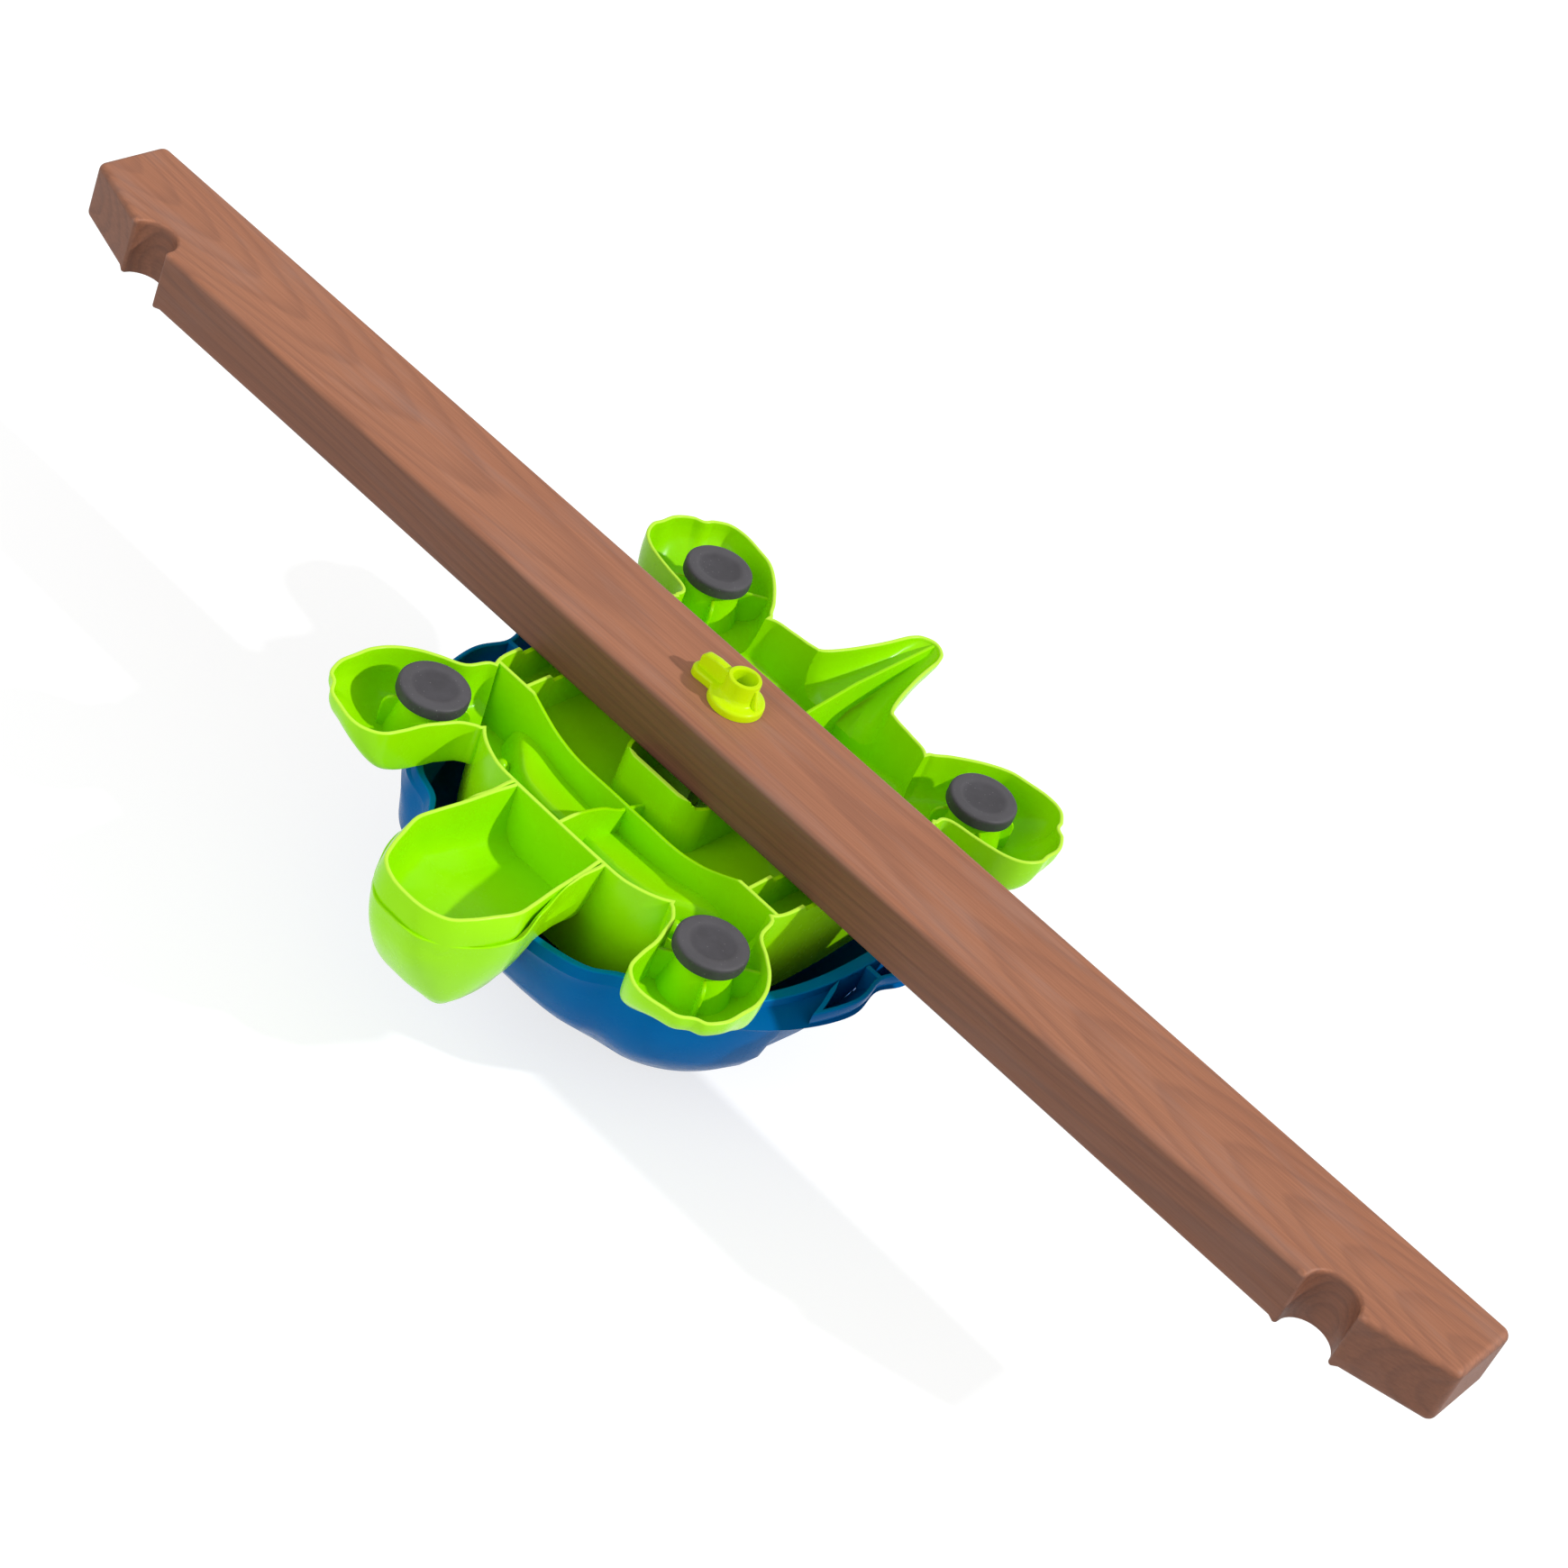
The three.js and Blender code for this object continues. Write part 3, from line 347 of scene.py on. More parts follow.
beam_half, beam_side, beam_low, beam_top = 680, 47.5, 200, 250
notch_x, notch_radius, notch_depth = 588.5, 20.5, 24
edge, lip_round, corner_round = 6, 2.6, 7
bore_radius = 4.5
tip_x, tip_y = 591.7, -19.9


def notched_outline():
    """Plan of the beam, anticlockwise from its far end: arcs at the corners, and at each notch a half
    circle between two small lips."""
    bore_y = -beam_side + notch_depth - notch_radius
    arc = [(notch_radius * math.cos(a), notch_radius * math.sin(a) + bore_y, 0)
           for a in np.radians(np.linspace(168, 24, 17))]
    slope = (tip_y + beam_side) / (beam_half - tip_x)
    outer_y = -beam_side + (notch_x + notch_radius - tip_x) * slope
    right = [(notch_x - notch_radius - 7, -beam_side, 0), (notch_x - notch_radius, -beam_side, lip_round)]
    right += [(notch_x + u, v, 0) for u, v, _ in arc] + [(notch_x + notch_radius, outer_y, lip_round)]
    right += [(notch_x + notch_radius + 7, outer_y + 7 * slope, 0)]
    right += [(beam_half, tip_y, corner_round), (beam_half, beam_side, corner_round)]
    left = [(-u, v, r) for u, v, r in right[::-1]]
    return round_corners(left + right)


plan = notched_outline()
in_notch = (np.abs(np.abs(plan[:, 0]) - notch_x) < notch_radius + 4) & (plan[:, 1] < -20)
roll = np.where(in_notch, 2.0, edge)
turns = np.radians(np.linspace(0, 90, 7))
rings = [lift(inset(plan, roll * (1 - math.sin(a))), beam_top - roll * (1 - math.cos(a))) for a in turns]
rings += [lift(inset(plan, roll * (1 - math.sin(a))), beam_low + roll * (1 - math.cos(a)))
          for a in turns[::-1]]
beam = ring_skin("beam_timber", rings)
work(beam, [rod("bolt_bore", bore_radius, beam_low - 5, beam_top + 5)], "DIFFERENCE")

timber, nodes, links, shader = material("stained_timber", Roughness=0.55, Specular_IOR_Level=0.35)
place = nodes.new("ShaderNodeTexCoord").outputs["Object"]
axes = nodes.new("ShaderNodeSeparateXYZ")
links.new(place, axes.inputs[0])
x, y, z = axes.outputs
# The log's heart runs under the beam and rises to both ends, so the rings draw arches on the top.
wander = noise(nodes, links, place, 1.0, 2, (2.2, 9, 9))
wander = sum_node(nodes, links, "MULTIPLY_ADD", wander, 0.034, -0.017)
heart = sum_node(nodes, links, "MULTIPLY", x, x)
heart = sum_node(nodes, links, "MULTIPLY_ADD", heart, 0.115, -0.078)
depth = sum_node(nodes, links, "ADD", z, -0.25)
depth = sum_node(nodes, links, "SUBTRACT", depth, heart)
across = sum_node(nodes, links, "ADD", y, wander)
depth = sum_node(nodes, links, "MULTIPLY", depth, depth)
across = sum_node(nodes, links, "MULTIPLY_ADD", across, across, depth)
radius = sum_node(nodes, links, "SQRT", across, 0.0)
flutter = noise(nodes, links, place, 1.0, 3, (5, 60, 60))
radius = sum_node(nodes, links, "MULTIPLY_ADD", flutter, 0.0035, radius)
year = sum_node(nodes, links, "MULTIPLY", radius, 165.0)
year = sum_node(nodes, links, "FRACT", year, 0.0)
late = ramp(nodes, links, year, [(0.0, 0.75), (0.12, 0.1), (0.55, 0.12), (0.88, 0.7), (1.0, 0.75)])
fibre = noise(nodes, links, place, 1.0, 4, (9, 520, 520), 0.6)
patch = noise(nodes, links, place, 1.0, 3, (3.5, 24, 24))
wood = blend_colour(nodes, links, patch, (0.36, 0.135, 0.07), (0.44, 0.19, 0.105))
wood = blend_colour(nodes, links, sum_node(nodes, links, "MULTIPLY", late, 0.55), wood,
                    (0.25, 0.105, 0.065))
streak = ramp(nodes, links, fibre, [(0.3, 0.86), (0.7, 1.1)])
wood = blend_colour(nodes, links, 1.0, wood, streak, "MULTIPLY")
haze = noise(nodes, links, place, 1.0, 4, (7, 40, 40), 0.6)
haze = ramp(nodes, links, haze, [(0.5, 0.0), (0.8, 0.4)])
wood = blend_colour(nodes, links, haze, wood, (0.38, 0.24, 0.2))
# Painted shade: the sides are darkened to half, standing in for the shade they are in while the top takes the
# sun.
shaded_side = tune(nodes, "ShaderNodeMapRange", From_Min=0.2492, From_Max=0.2452)
links.new(z, shaded_side.inputs["Value"])
# The darker wood here is painted shade for the sides.
painted_shade_wood = blend_colour(nodes, links, 1.0, wood, (0.5, 0.49, 0.5), "MULTIPLY")
wood = blend_colour(nodes, links, shaded_side.outputs[0], wood, painted_shade_wood)
links.new(wood, shader.inputs["Base Color"])
sheen = ramp(nodes, links, patch, [(0.2, 0.5), (0.8, 0.62)])
links.new(sheen, shader.inputs["Roughness"])
bump(nodes, links, shader, fibre, 0.0004, 0.35)
finish(beam, "beam_timber", timber, "beam", ["beam"])

# Turtle body
# One injection moulding in lime polypropylene, open side up: a tub with a floor and crossed ribs, four
# leg pods, a tail scoop, and a head tray inside a deeper cup. All walls are 3 mm with rounded rims.
rim, over_rim = 206.5, 211.5
wall, rib = 3.0, 3.0
body_half = np.array([141.0, 163.0])
hub_floor = 153.0
cross_y, saddle_x = 84.0, 112.0
rim_round = 1.1

tub_shares = [
    (0.3, -1), (0.48, -0.985), (0.667, -0.896), (1, -0.54), (1.03, -0.35), (1.03, 0.2),
    (0.96, 0.6), (0.574, 0.928), (0.43, 0.96), (0.34, 0.972), (0.26, 0.988)]
front_leg_shares = [
    (1, -0.54), (1.064, -0.669), (1.17, -0.736), (1.262, -0.804), (1.333, -0.89), (1.372, -0.988),
    (1.376, -1.08), (1.376, -1.166), (1.355, -1.227), (1.326, -1.27), (1.277, -1.294), (1.22, -1.35),
    (1.135, -1.374), (1.028, -1.393), (0.943, -1.38), (0.865, -1.325), (0.83, -1.227),
    (0.809, -1.117), (0.78, -1.043), (0.745, -0.963), (0.695, -0.914), (0.667, -0.896),
    (0.6, -0.72), (0.76, -0.52)]
rear_leg_shares = [
    (0.957, 0.601), (0.965, 0.656), (1.007, 0.681), (1.117, 0.699), (1.224, 0.72), (1.319, 0.748),
    (1.397, 0.798), (1.444, 0.882), (1.438, 0.942), (1.433, 1.031), (1.379, 1.114), (1.325, 1.145),
    (1.305, 1.19), (1.238, 1.252), (1.135, 1.27), (1, 1.252), (0.894, 1.227), (0.773, 1.147),
    (0.652, 1.031), (0.6, 0.963), (0.574, 0.933), (0.56, 0.72), (0.7, 0.54)]
front_pad, rear_pad = (0.984, -0.931), (0.977, 0.918)
pod_profile = [(1, 0), (0.985, 0.45), (0.93, 0.78), (0.78, 0.95), (0.42, 1)]
scoop_profile = [(1, 0), (0.98, 0.4), (0.9, 0.72), (0.72, 0.93), (0.4, 1)]


def anticlockwise(loop):
    """Loop turned round if its signed area is negative."""
    nxt = np.roll(loop, -1, 0)
    area = (loop[:, 0] * nxt[:, 1] - nxt[:, 0] * loop[:, 1]).sum()
    return loop if area > 0 else loop[::-1]


def both_halves(right, middle=()):
    """Outline from its right half, any points on the middle line, and the mirrored half."""
    right = np.asarray(right, float)
    middle = np.reshape(middle, (-1, 2))
    return anticlockwise(np.vstack([right, middle, right[::-1] * (-1, 1)]))


def rounded_rim(loop, height, radius, degrees=(0, 30, 60, 90), side=1):
    """Rings over a rounded edge, from its top down. Side 1 rounds it inwards and side -1 outwards."""
    return [lift(inset(loop, side * radius * (1 - math.sin(a))), height - radius * (1 - math.cos(a)))
            for a in np.radians(degrees)]


def bowl(loop, centre, height, depth_at, profile, side):
    """Rings of a bowl under a loop. Its rim is rounded over, inwards for an outer face (side 1) and
    outwards for a space (side -1), which also rises above the rim. Below, each ring is a smaller copy
    about the centre and lies deeper, by the profile's shares."""
    rings = []
    if side < 0:
        rings.append(lift(inset(loop, -rim_round), over_rim))
    rings += rounded_rim(loop, height, rim_round, side=side)
    for width, share in spline(profile, 5, closed=False)[2:]:
        ring = centre + (loop - centre) * width
        rings.append(lift(ring, height - share * depth_at(ring)))
    return rings


def hollow(name, loop, centre, depth_at, profile):
    """Outer skin of a hollow form, and the skin of the space inside its wall."""
    inner = inset(loop, wall)
    outside = ring_skin(name, bowl(loop, centre, rim, depth_at, profile, 1))
    space = ring_skin(name + "_space", bowl(inner, centre, rim, lambda q: depth_at(q) - wall, profile, -1))
    return outside, space


def smoothstep(x):
    """Three x squared less two x cubed, held to 0 and 1 outside."""
    x = np.clip(x, 0, 1)
    return x * x * (3 - 2 * x)


def plate(name, outline, place, thickness, axis, edge_round=rim_round):
    """Flat plate with rounded edges, standing across X (axis 0) or Y (axis 1). The outline is given
    along the other flat axis and in height."""
    outline = anticlockwise(np.asarray(outline, float))
    half = thickness / 2
    turn = np.radians([0, 30, 60, 90])
    ins = edge_round * (1 - np.sin(turn))
    off = half - edge_round * (1 - np.cos(turn))
    rings = []
    for shift, depth in zip(np.r_[-off, off[::-1]], np.r_[ins, ins[::-1]]):
        flat = inset(outline, depth)
        columns = [flat[:, 0], np.full(len(flat), place + shift)]
        rings.append(np.column_stack((columns if axis else columns[::-1]) + [flat[:, 1]]))
    return ring_skin(name, rings)


def block(name, low, high):
    """Box between two corners."""
    (a, b, c), (d, e, f) = low, high
    return ring_skin(name, [[(a, b, f), (d, b, f), (d, e, f), (a, e, f)],
                            [(a, b, c), (d, b, c), (d, e, c), (a, e, c)]])


def turned_to(piece, angle, x, y):
    """Turns a skin about Z and moves it, in its mesh."""
    points = np.empty(len(piece.data.vertices) * 3)
    piece.data.vertices.foreach_get("co", points)
    points = points.reshape(-1, 3)
    c, s = math.cos(angle), math.sin(angle)
    flat = points[:, :2] @ np.array([[c, s], [-s, c]]) + np.array([x, y]) * mm
    points[:, :2] = flat
    piece.data.vertices.foreach_set("co", points.ravel())
    return piece


# The tub
tub_loop = spline(both_halves(np.array(tub_shares) * body_half), 8)
skirt_depth, skirt_draft = 96, 7.0
skirt_low = rim - skirt_depth
draft_at_floor = skirt_draft * (rim - hub_floor) / skirt_depth


def floor_height(x):
    """Shallow bowl that rises to both sides: a bell curve turned over."""
    return hub_floor + 21 * (1 - np.exp(-(x / 75.0) ** 2))


tub_rings = rounded_rim(tub_loop, rim, rim_round) + [lift(inset(tub_loop, skirt_draft), skirt_low)]
body = ring_skin("body", tub_rings)
inner_loop = inset(tub_loop, wall)
floor_loop = inset(tub_loop, wall + draft_at_floor)
space_rings = [lift(inset(inner_loop, -rim_round), over_rim)]
space_rings += rounded_rim(inner_loop, rim, rim_round, side=-1)
fillet = 5.0
for a in np.radians([0, 20, 40, 60, 80]):
    ring = inset(floor_loop, fillet * (1 - math.cos(a)))
    space_rings.append(lift(ring, floor_height(ring[:, 0]) + fillet * (1 - math.sin(a))))
floor_rings = [floor_loop * share for share in (0.9, 0.8, 0.7, 0.6, 0.5, 0.4, 0.3, 0.2, 0.1)]
space_rings += [lift(ring, floor_height(ring[:, 0])) for ring in floor_rings]
tub_space = ring_skin("tub_space", space_rings)
front_space = ring_skin("front_space", [lift(inner_loop, rim - 3), lift(floor_loop, hub_floor)])
work(front_space, [block("before_cross_wall", (-200, -200, 100), (200, -cross_y, 230))], "INTERSECT")
work(tub_space, [front_space], "UNION")
under = [lift(ring, floor_height(ring[:, 0]) - wall) for ring in floor_rings[::-1] + [floor_loop]]
under.append(lift(inset(tub_loop, wall + skirt_draft), skirt_low - 5))
skirt_space = ring_skin("skirt_space", under)
front_floor = block("front_floor", (-200, -200, hub_floor - wall), (200, wall - cross_y, 230))
work(skirt_space, [front_floor], "DIFFERENCE")

# The four legs
outers, spaces, posts = [], [], []
pads = {}
for end, shares, pad in (("front", front_leg_shares, front_pad), ("rear", rear_leg_shares, rear_pad)):
    leg_loop = spline(anticlockwise(np.array(shares) * body_half), 6)
    for side_name, sign in (("left", -1), ("right", 1)):
        loop = anticlockwise(leg_loop * (sign, 1))
        centre = np.array(pad) * body_half * (sign, 1)
        pads[f"{end}_{side_name}"] = centre
        outward = centre / np.linalg.norm(centre)

        def leg_depth(q, centre=centre, outward=outward):
            """Deep round the post, and shallower from there to the toes."""
            return 23 + 19 * (1 - smoothstep(((q - centre) @ outward - 26.4) / 39.6))

        outer, space = hollow("leg", loop, centre * 0.77, leg_depth, pod_profile)
        outers.append(outer)
        spaces.append(space)
        low, top, reach = 166.0, rim - 11, 32.0
        fin = round_corners([(-reach, low, 0), (reach, low, 0), (reach, top, 8), (-reach, top, 8)])
        parts = [plate("fin", fin, 0, rib, 1),
                 plate("cross_fin", [(-48, low), (48, low), (48, top), (-48, top)], 0, rib, 0)]
        angle = math.atan2(outward[1], outward[0])
        posts += [turned_to(part, angle, *centre) for part in parts]
        posts.append(rod("post", 19.5, low, 201.2, *centre, foot=27))

# The tail scoop
tail_half, tail_reach = 37.0, 96.0
tail_shares = [
    (1.3, -0.6), (1.3, -0.3), (1.22, -0.1), (1, 0.01), (0.82, 0.19), (0.68, 0.385), (0.6, 0.51),
    (0.535, 0.635), (0.486, 0.75), (0.43, 0.85), (0.3, 0.945)]
tail_right = [(u * tail_half, 163 + v * tail_reach) for u, v in tail_shares]
tail_loop = spline(both_halves(tail_right, [(0, 163 + tail_reach)]), 6)


def tail_depth(q):
    """Deepest at the root, and on into the tub, where it falls away to the floor."""
    along = (q[:, 1] - 163) / tail_reach
    return 34 * (1 - 0.7 * np.clip(along, 0, 1)) + 20 * smoothstep((0.04 - along) / 0.25)


tail_outer, tail_space = hollow("tail", tail_loop, np.array([0, 158.0]), tail_depth, scoop_profile)
work(tail_outer, [block("before_tail", (-90, 60, 100), (90, 148, 230))], "DIFFERENCE")
outers.append(tail_outer)
spaces.append(tail_space)

# The head: a tray, and a deeper cup that stands round it with a slot between their rims
neck, head_reach = -163.0, 153.0
tray_half, cup_half = 51.5, 58
tray_shares = [
    (0.8, -0.4), (0.8, -0.15), (0.83, 0), (0.874, 0.118), (0.922, 0.307), (0.981, 0.464), (1, 0.569),
    (0.893, 0.686), (0.777, 0.791), (0.621, 0.882), (0.33, 0.935)]
cup_shares = [(0.7, -0.06), (0.81, 0.16), (0.85, 0.29), (0.93, 0.405), (0.985, 0.5), (1, 0.585),
              (0.93, 0.68), (0.8, 0.77), (0.62, 0.87), (0.35, 0.965)]
base_shares = [(0.4, -0.06), (0.45, 0.16), (0.5, 0.28), (0.54, 0.38), (0.56, 0.48), (0.57, 0.58),
               (0.57, 0.65), (0.53, 0.7), (0.42, 0.725), (0.2, 0.73)]
belt_shares = [
    (0.8, -0.4), (0.8, -0.15), (0.83, 0), (0.874, 0.118), (0.92, 0.307), (0.985, 0.464), (1.07, 0.575),
    (0.985, 0.69), (0.84, 0.79), (0.66, 0.885), (0.36, 0.955)]
head_centre = np.array([0, neck - head_reach * 0.53])


def head_loop(shares, half_width, tip_share):
    """Outline in the head from shares of its half width and of its reach past the neck."""
    right = [(u * half_width, neck - v * head_reach) for u, v in shares]
    return spline(both_halves(right, [(0, neck - head_reach * tip_share)]), 8)


tray_profile = [(1, 0), (0.97, 0.35), (0.93, 0.65), (0.84, 0.86), (0.66, 0.96), (0.45, 1)]
tray_rim, belt = head_loop(tray_shares, tray_half, 0.948), head_loop(belt_shares, tray_half, 0.966)
tray_outer, tray_space = hollow(
    "tray", tray_rim, np.array([0, -200.0]),
    lambda q: 53 * (1 - 0.35 * np.clip((neck - q[:, 1]) / head_reach, 0, 1)), tray_profile)
# The tray's outer face leans out to the cup's rim and draws in again under it.
leaning = rounded_rim(tray_rim, rim, rim_round)
leaning += [lift(tray_rim * (1 - mix) + belt * mix, rim - drop)
            for mix, drop in ((0.3, 5), (0.75, 11), (1, 17), (1, 26), (0.4, 32))]
work(tray_outer, [ring_skin("belt", leaning)], "UNION")
work(tray_space, [block("neck_wall", (-90, neck - 0.6, 100), (90, 0, 230))], "DIFFERENCE")
work(tray_outer, [block("behind_neck", (-90, neck + 1, 100), (90, 0, 230))], "DIFFERENCE")

cup_rim, cup_base = head_loop(cup_shares, cup_half, 0.982), head_loop(base_shares, cup_half, 0.73)


def lip_height(y):
    """The cup's rim is level beside the neck, drops in one steep step, and is lowest at its corners."""
    corner = np.exp(-((y + 285) / 22) ** 2)
    return rim - 6.5 * smoothstep((-195 - y) / 29) - 12 * smoothstep((-230 - y) / 16) - 3.5 * corner


def cup_rings(gap):
    """Rings of the cup: from its rim's outline to the squarer one near its bottom. The gap draws them
    in for the space inside the wall."""
    first, last = inset(cup_rim, gap), inset(cup_base, gap)
    height = lip_height(cup_rim[:, 1])
    bottom = rim - 97 + gap
    rings = [lift(inset(first, -rim_round), over_rim)] if gap else []
    rings += rounded_rim(first, height, rim_round, side=-1 if gap else 1)
    for mix, share in spline([(0, 0), (0.12, 0.3), (0.38, 0.6), (0.7, 0.85), (1, 0.98)], 5, False)[1:]:
        rings.append(lift(first * (1 - mix) + last * mix, height - share * (height - bottom)))
    rings += [lift(head_centre + (last - head_centre) * share, bottom) for share in (0.9, 0.6)]
    return rings


cup = ring_skin("cup", cup_rings(0))
cup_space = ring_skin("cup_space", cup_rings(wall))
work(cup, [block("over_shell", (-90, -209, 0), (90, 0, 153))], "DIFFERENCE")
work(cup_space, [block("over_shell", (-90, -212, 0), (90, 0, 156))], "DIFFERENCE")
work(cup, [cup_space], "DIFFERENCE")

# The ribs and the hub
low = hub_floor - wall / 2
dip = spline([(0.74, 0), (0.6, 0.18), (0.5, 0.28), (0.35, 0.355), (0.12, 0.36)], 6, closed=False)
dip = np.column_stack([dip[:, 0] * 141, rim - dip[:, 1] * 53.5])
cross = np.vstack([[(-146, low), (146, low), (146, rim)], dip, dip[::-1] * (-1, 1), [(-146, rim)]])
neck_rib = spline([(-163, rim), (-143.4, rim - 0.5), (-114, rim - 8.6), (-91, rim - 20.3),
                   (-81.5, rim - 22.5), (-61, rim - 28.4)], 5, closed=False)
neck_rib = np.vstack([neck_rib, [(-60, low), (-163, low)]])
tail_rib = [(60, low), (257.5, low), (257.5, 205), (163, 203.5), (110, 196.8), (60, 183.8)]
saddle_rib = [(-cross_y, low), (cross_y, low), (cross_y, rim), (-cross_y, rim)]
hub_corners = [(-40, -60, 18), (40, -60, 18), (40, 63, 18), (-40, 63, 18)]
hub_loop = anticlockwise(round_corners(hub_corners, 10))
bulge = hub_loop[:, 1] < -50
hub_loop[:, 1] -= np.where(bulge, 5.5 * np.clip(1 - (hub_loop[:, 0] / 36) ** 2, 0, 1), 0)
hub_wall = ring_skin("hub", rounded_rim(hub_loop, rim, rim_round, (0, 45, 90)) + [lift(hub_loop, low)])
hub_inner = inset(hub_loop, wall)


def hub_space():
    """Space inside the hub's wall, from its floor to above the rim."""
    return ring_skin("hub_space", [lift(hub_inner, over_rim), lift(hub_inner, hub_floor)])


ribs = [plate("cross_wall", cross, -cross_y, rib, 1), plate("rear_wall", cross, cross_y, rib, 1),
        plate("neck_rib", neck_rib, 0, rib, 0), plate("tail_rib", tail_rib, 0, rib, 0),
        plate("saddle_rib", saddle_rib, saddle_x, rib, 0), plate("saddle_rib", saddle_rib, -saddle_x, rib, 0)]
inner = ribs[0]
work(inner, ribs[1:] + posts, "UNION")
work(inner, [hub_space()], "DIFFERENCE")
work(hub_wall, [hub_space()], "DIFFERENCE")
work(inner, [hub_wall], "UNION")


def turned(name, profile, x, y, steps=72):
    """Round piece from a profile of radius and height, top first."""
    angle = np.arange(steps) * 2 * math.pi / steps
    unit = np.column_stack([np.cos(angle), np.sin(angle)])
    return ring_skin(name, [lift(unit * r + (x, y), z) for r, z in profile])


# Two crescent reliefs and two round lumps in the front compartments' floor
# Each point gives the crest's place and height, and the height at the cross wall.
crescent_path = spline([
    (-4, -121, 175.5, 161), (23, -121.5, 175, 162), (47, -120, 175, 164), (65, -115.5, 175, 167),
    (85, -99.5, 174.5, 172), (98, -87, 172.5, 173), (104, -83, 170, 173)], 6, closed=False)


def crescent(sign):
    """Long relief: upright slices across its crest, steep to the front and gently sloped to the back,
    where they end in the cross wall."""
    crest, top = crescent_path[:, :2], crescent_path[:, 2]
    foot = np.column_stack([crest[:, 0] * 0.95, np.full(len(crest), -cross_y)])
    foot_height = crescent_path[:, 3]
    along = np.gradient(crest, axis=0)
    ahead = np.column_stack([along[:, 1], -along[:, 0]]) / np.linalg.norm(along, axis=1, keepdims=True)
    rows = [lift(foot, hub_floor - 1), lift(foot, foot_height)]
    for share in (0.4, 0.8):
        rows.append(lift(foot + (crest - foot) * share, foot_height + (top - foot_height) * share**0.8))
    for away, drop in ((0, 0), (2.5, 0.9), (5, 4), (7, 9), (9, 16)):
        rows.append(lift(crest + ahead * away, top - drop))
    rows.append(lift(crest + ahead * 11, hub_floor - 1))
    return ring_skin("crescent", np.array(rows).transpose(1, 0, 2) * (sign, 1, 1))


lump_profile = [(0.8, 168), (3.2, 167.2), (5.6, 164.5), (7, 160), (7.6, 152.5)]
lumps = [turned("lump", lump_profile, x, -116, 24) for x in (-88, 88)]
work(inner, [crescent(1), crescent(-1)] + lumps, "UNION")

tub_copy = twin(body)
forms = outers[0]
work(forms, outers[1:], "UNION")
forms_copy = twin(forms)
work(body, [forms, tray_outer], "UNION")
whole = twin(body)
work(inner, [whole], "INTERSECT")
work(body, [tub_space, tray_space] + spaces, "DIFFERENCE")
work(body, [inner], "UNION")
work(skirt_space, [forms_copy], "DIFFERENCE")
work(body, [skirt_space], "DIFFERENCE")
work(cup, [tub_copy], "DIFFERENCE")

sleeve_shares = [(0.62, 0.12), (-0.62, 0.12), (0.5, 0.69), (-0.5, 0.69), (0, 0.25), (0, -0.25)]
screws = np.array(sleeve_shares) * body_half
sleeves = [rod("sleeve", 7, 142, floor_height(x) - 1, x, y, 24) for x, y in screws]
socket = rod("socket", 14, 141, 152)
work(body, [cup, socket] + sleeves, "UNION")

# The saddle is sawn out of the ribs, with a few torn teeth left at its edges.
teeth = [(-60.6, 212), (-59.6, 204.6), (-58.4, 205.4), (-57.6, 201.4), (-56.2, 202.6), (-55.2, 199.7)]
sawn = np.vstack([teeth, np.array(teeth[::-1]) * (-1, 1)])
saddle = ring_skin("saddle", [np.column_stack([np.full(len(sawn), s), sawn]) for s in (-280, 280)])
cuts = [saddle, rod("bolt_hole", bore_radius, 120, 260), rod("head_socket", 7.9, 120, 150, steps=6)]
cuts += [rod("screw_hole", 2.3, 120, 200, x, y, 16) for x, y in screws]
cuts += [rod("plug_hole", 6.3, 188.9, 220, *centre, 24) for centre in pads.values()]
work(body, cuts, "DIFFERENCE")


def lime_plastic(name, colour, rim_highlight, deep, rim_line, gloss=0.18):
    """Glossy moulded plastic: slight clouding, fine surface unevenness, scuffs, and rims painted pale where a
    height mask finds them, a painted highlight for the light the thin rounded rims catch and let through."""
    made, nodes, links, shader = material(name, Specular_IOR_Level=gloss, IOR=1.45)
    place = nodes.new("ShaderNodeTexCoord").outputs["Object"]
    cloud = noise(nodes, links, place, 14, 3)
    tone = blend_colour(nodes, links, ramp(nodes, links, cloud, [(0.35, 0.0), (0.65, 1.0)]), deep, colour)
    grain = noise(nodes, links, place, 900, 2)
    if rim_line:
        axes = nodes.new("ShaderNodeSeparateXYZ")
        links.new(place, axes.inputs[0])
        # Painted highlight: a band just under the rim's height is painted pale, for the light that the thin
        # rounded rims catch and let through.
        rim_highlight_mask = tune(nodes, "ShaderNodeMapRange", From_Min=rim_line - 0.0013, From_Max=rim_line - 0.0002)
        links.new(axes.outputs[2], rim_highlight_mask.inputs["Value"])
        tone = blend_colour(nodes, links, rim_highlight_mask.outputs[0], tone, rim_highlight)
    links.new(tone, shader.inputs["Base Color"])
    scuff = noise(nodes, links, place, 60, 5, (1, 1, 1), 0.7)
    links.new(ramp(nodes, links, scuff, [(0.4, 0.2), (0.75, 0.36)]), shader.inputs["Roughness"])
    swell = noise(nodes, links, place, 30, 2)
    first = tune(nodes, "ShaderNodeBump", Distance=0.0008, Strength=0.12)
    links.new(swell, first.inputs["Height"])
    bump(nodes, links, shader, grain, 0.0001, 0.1, first.outputs[0])
    return made


# The second colour is a painted highlight along the body's rim tops.
lime = lime_plastic("lime_plastic", (0.35, 0.82, 0.0), (0.56, 0.92, 0.06), (0.31, 0.77, 0.0), 0.2065)
finish(body, "turtle_moulding", lime, "turtle", ["turtle_body"])

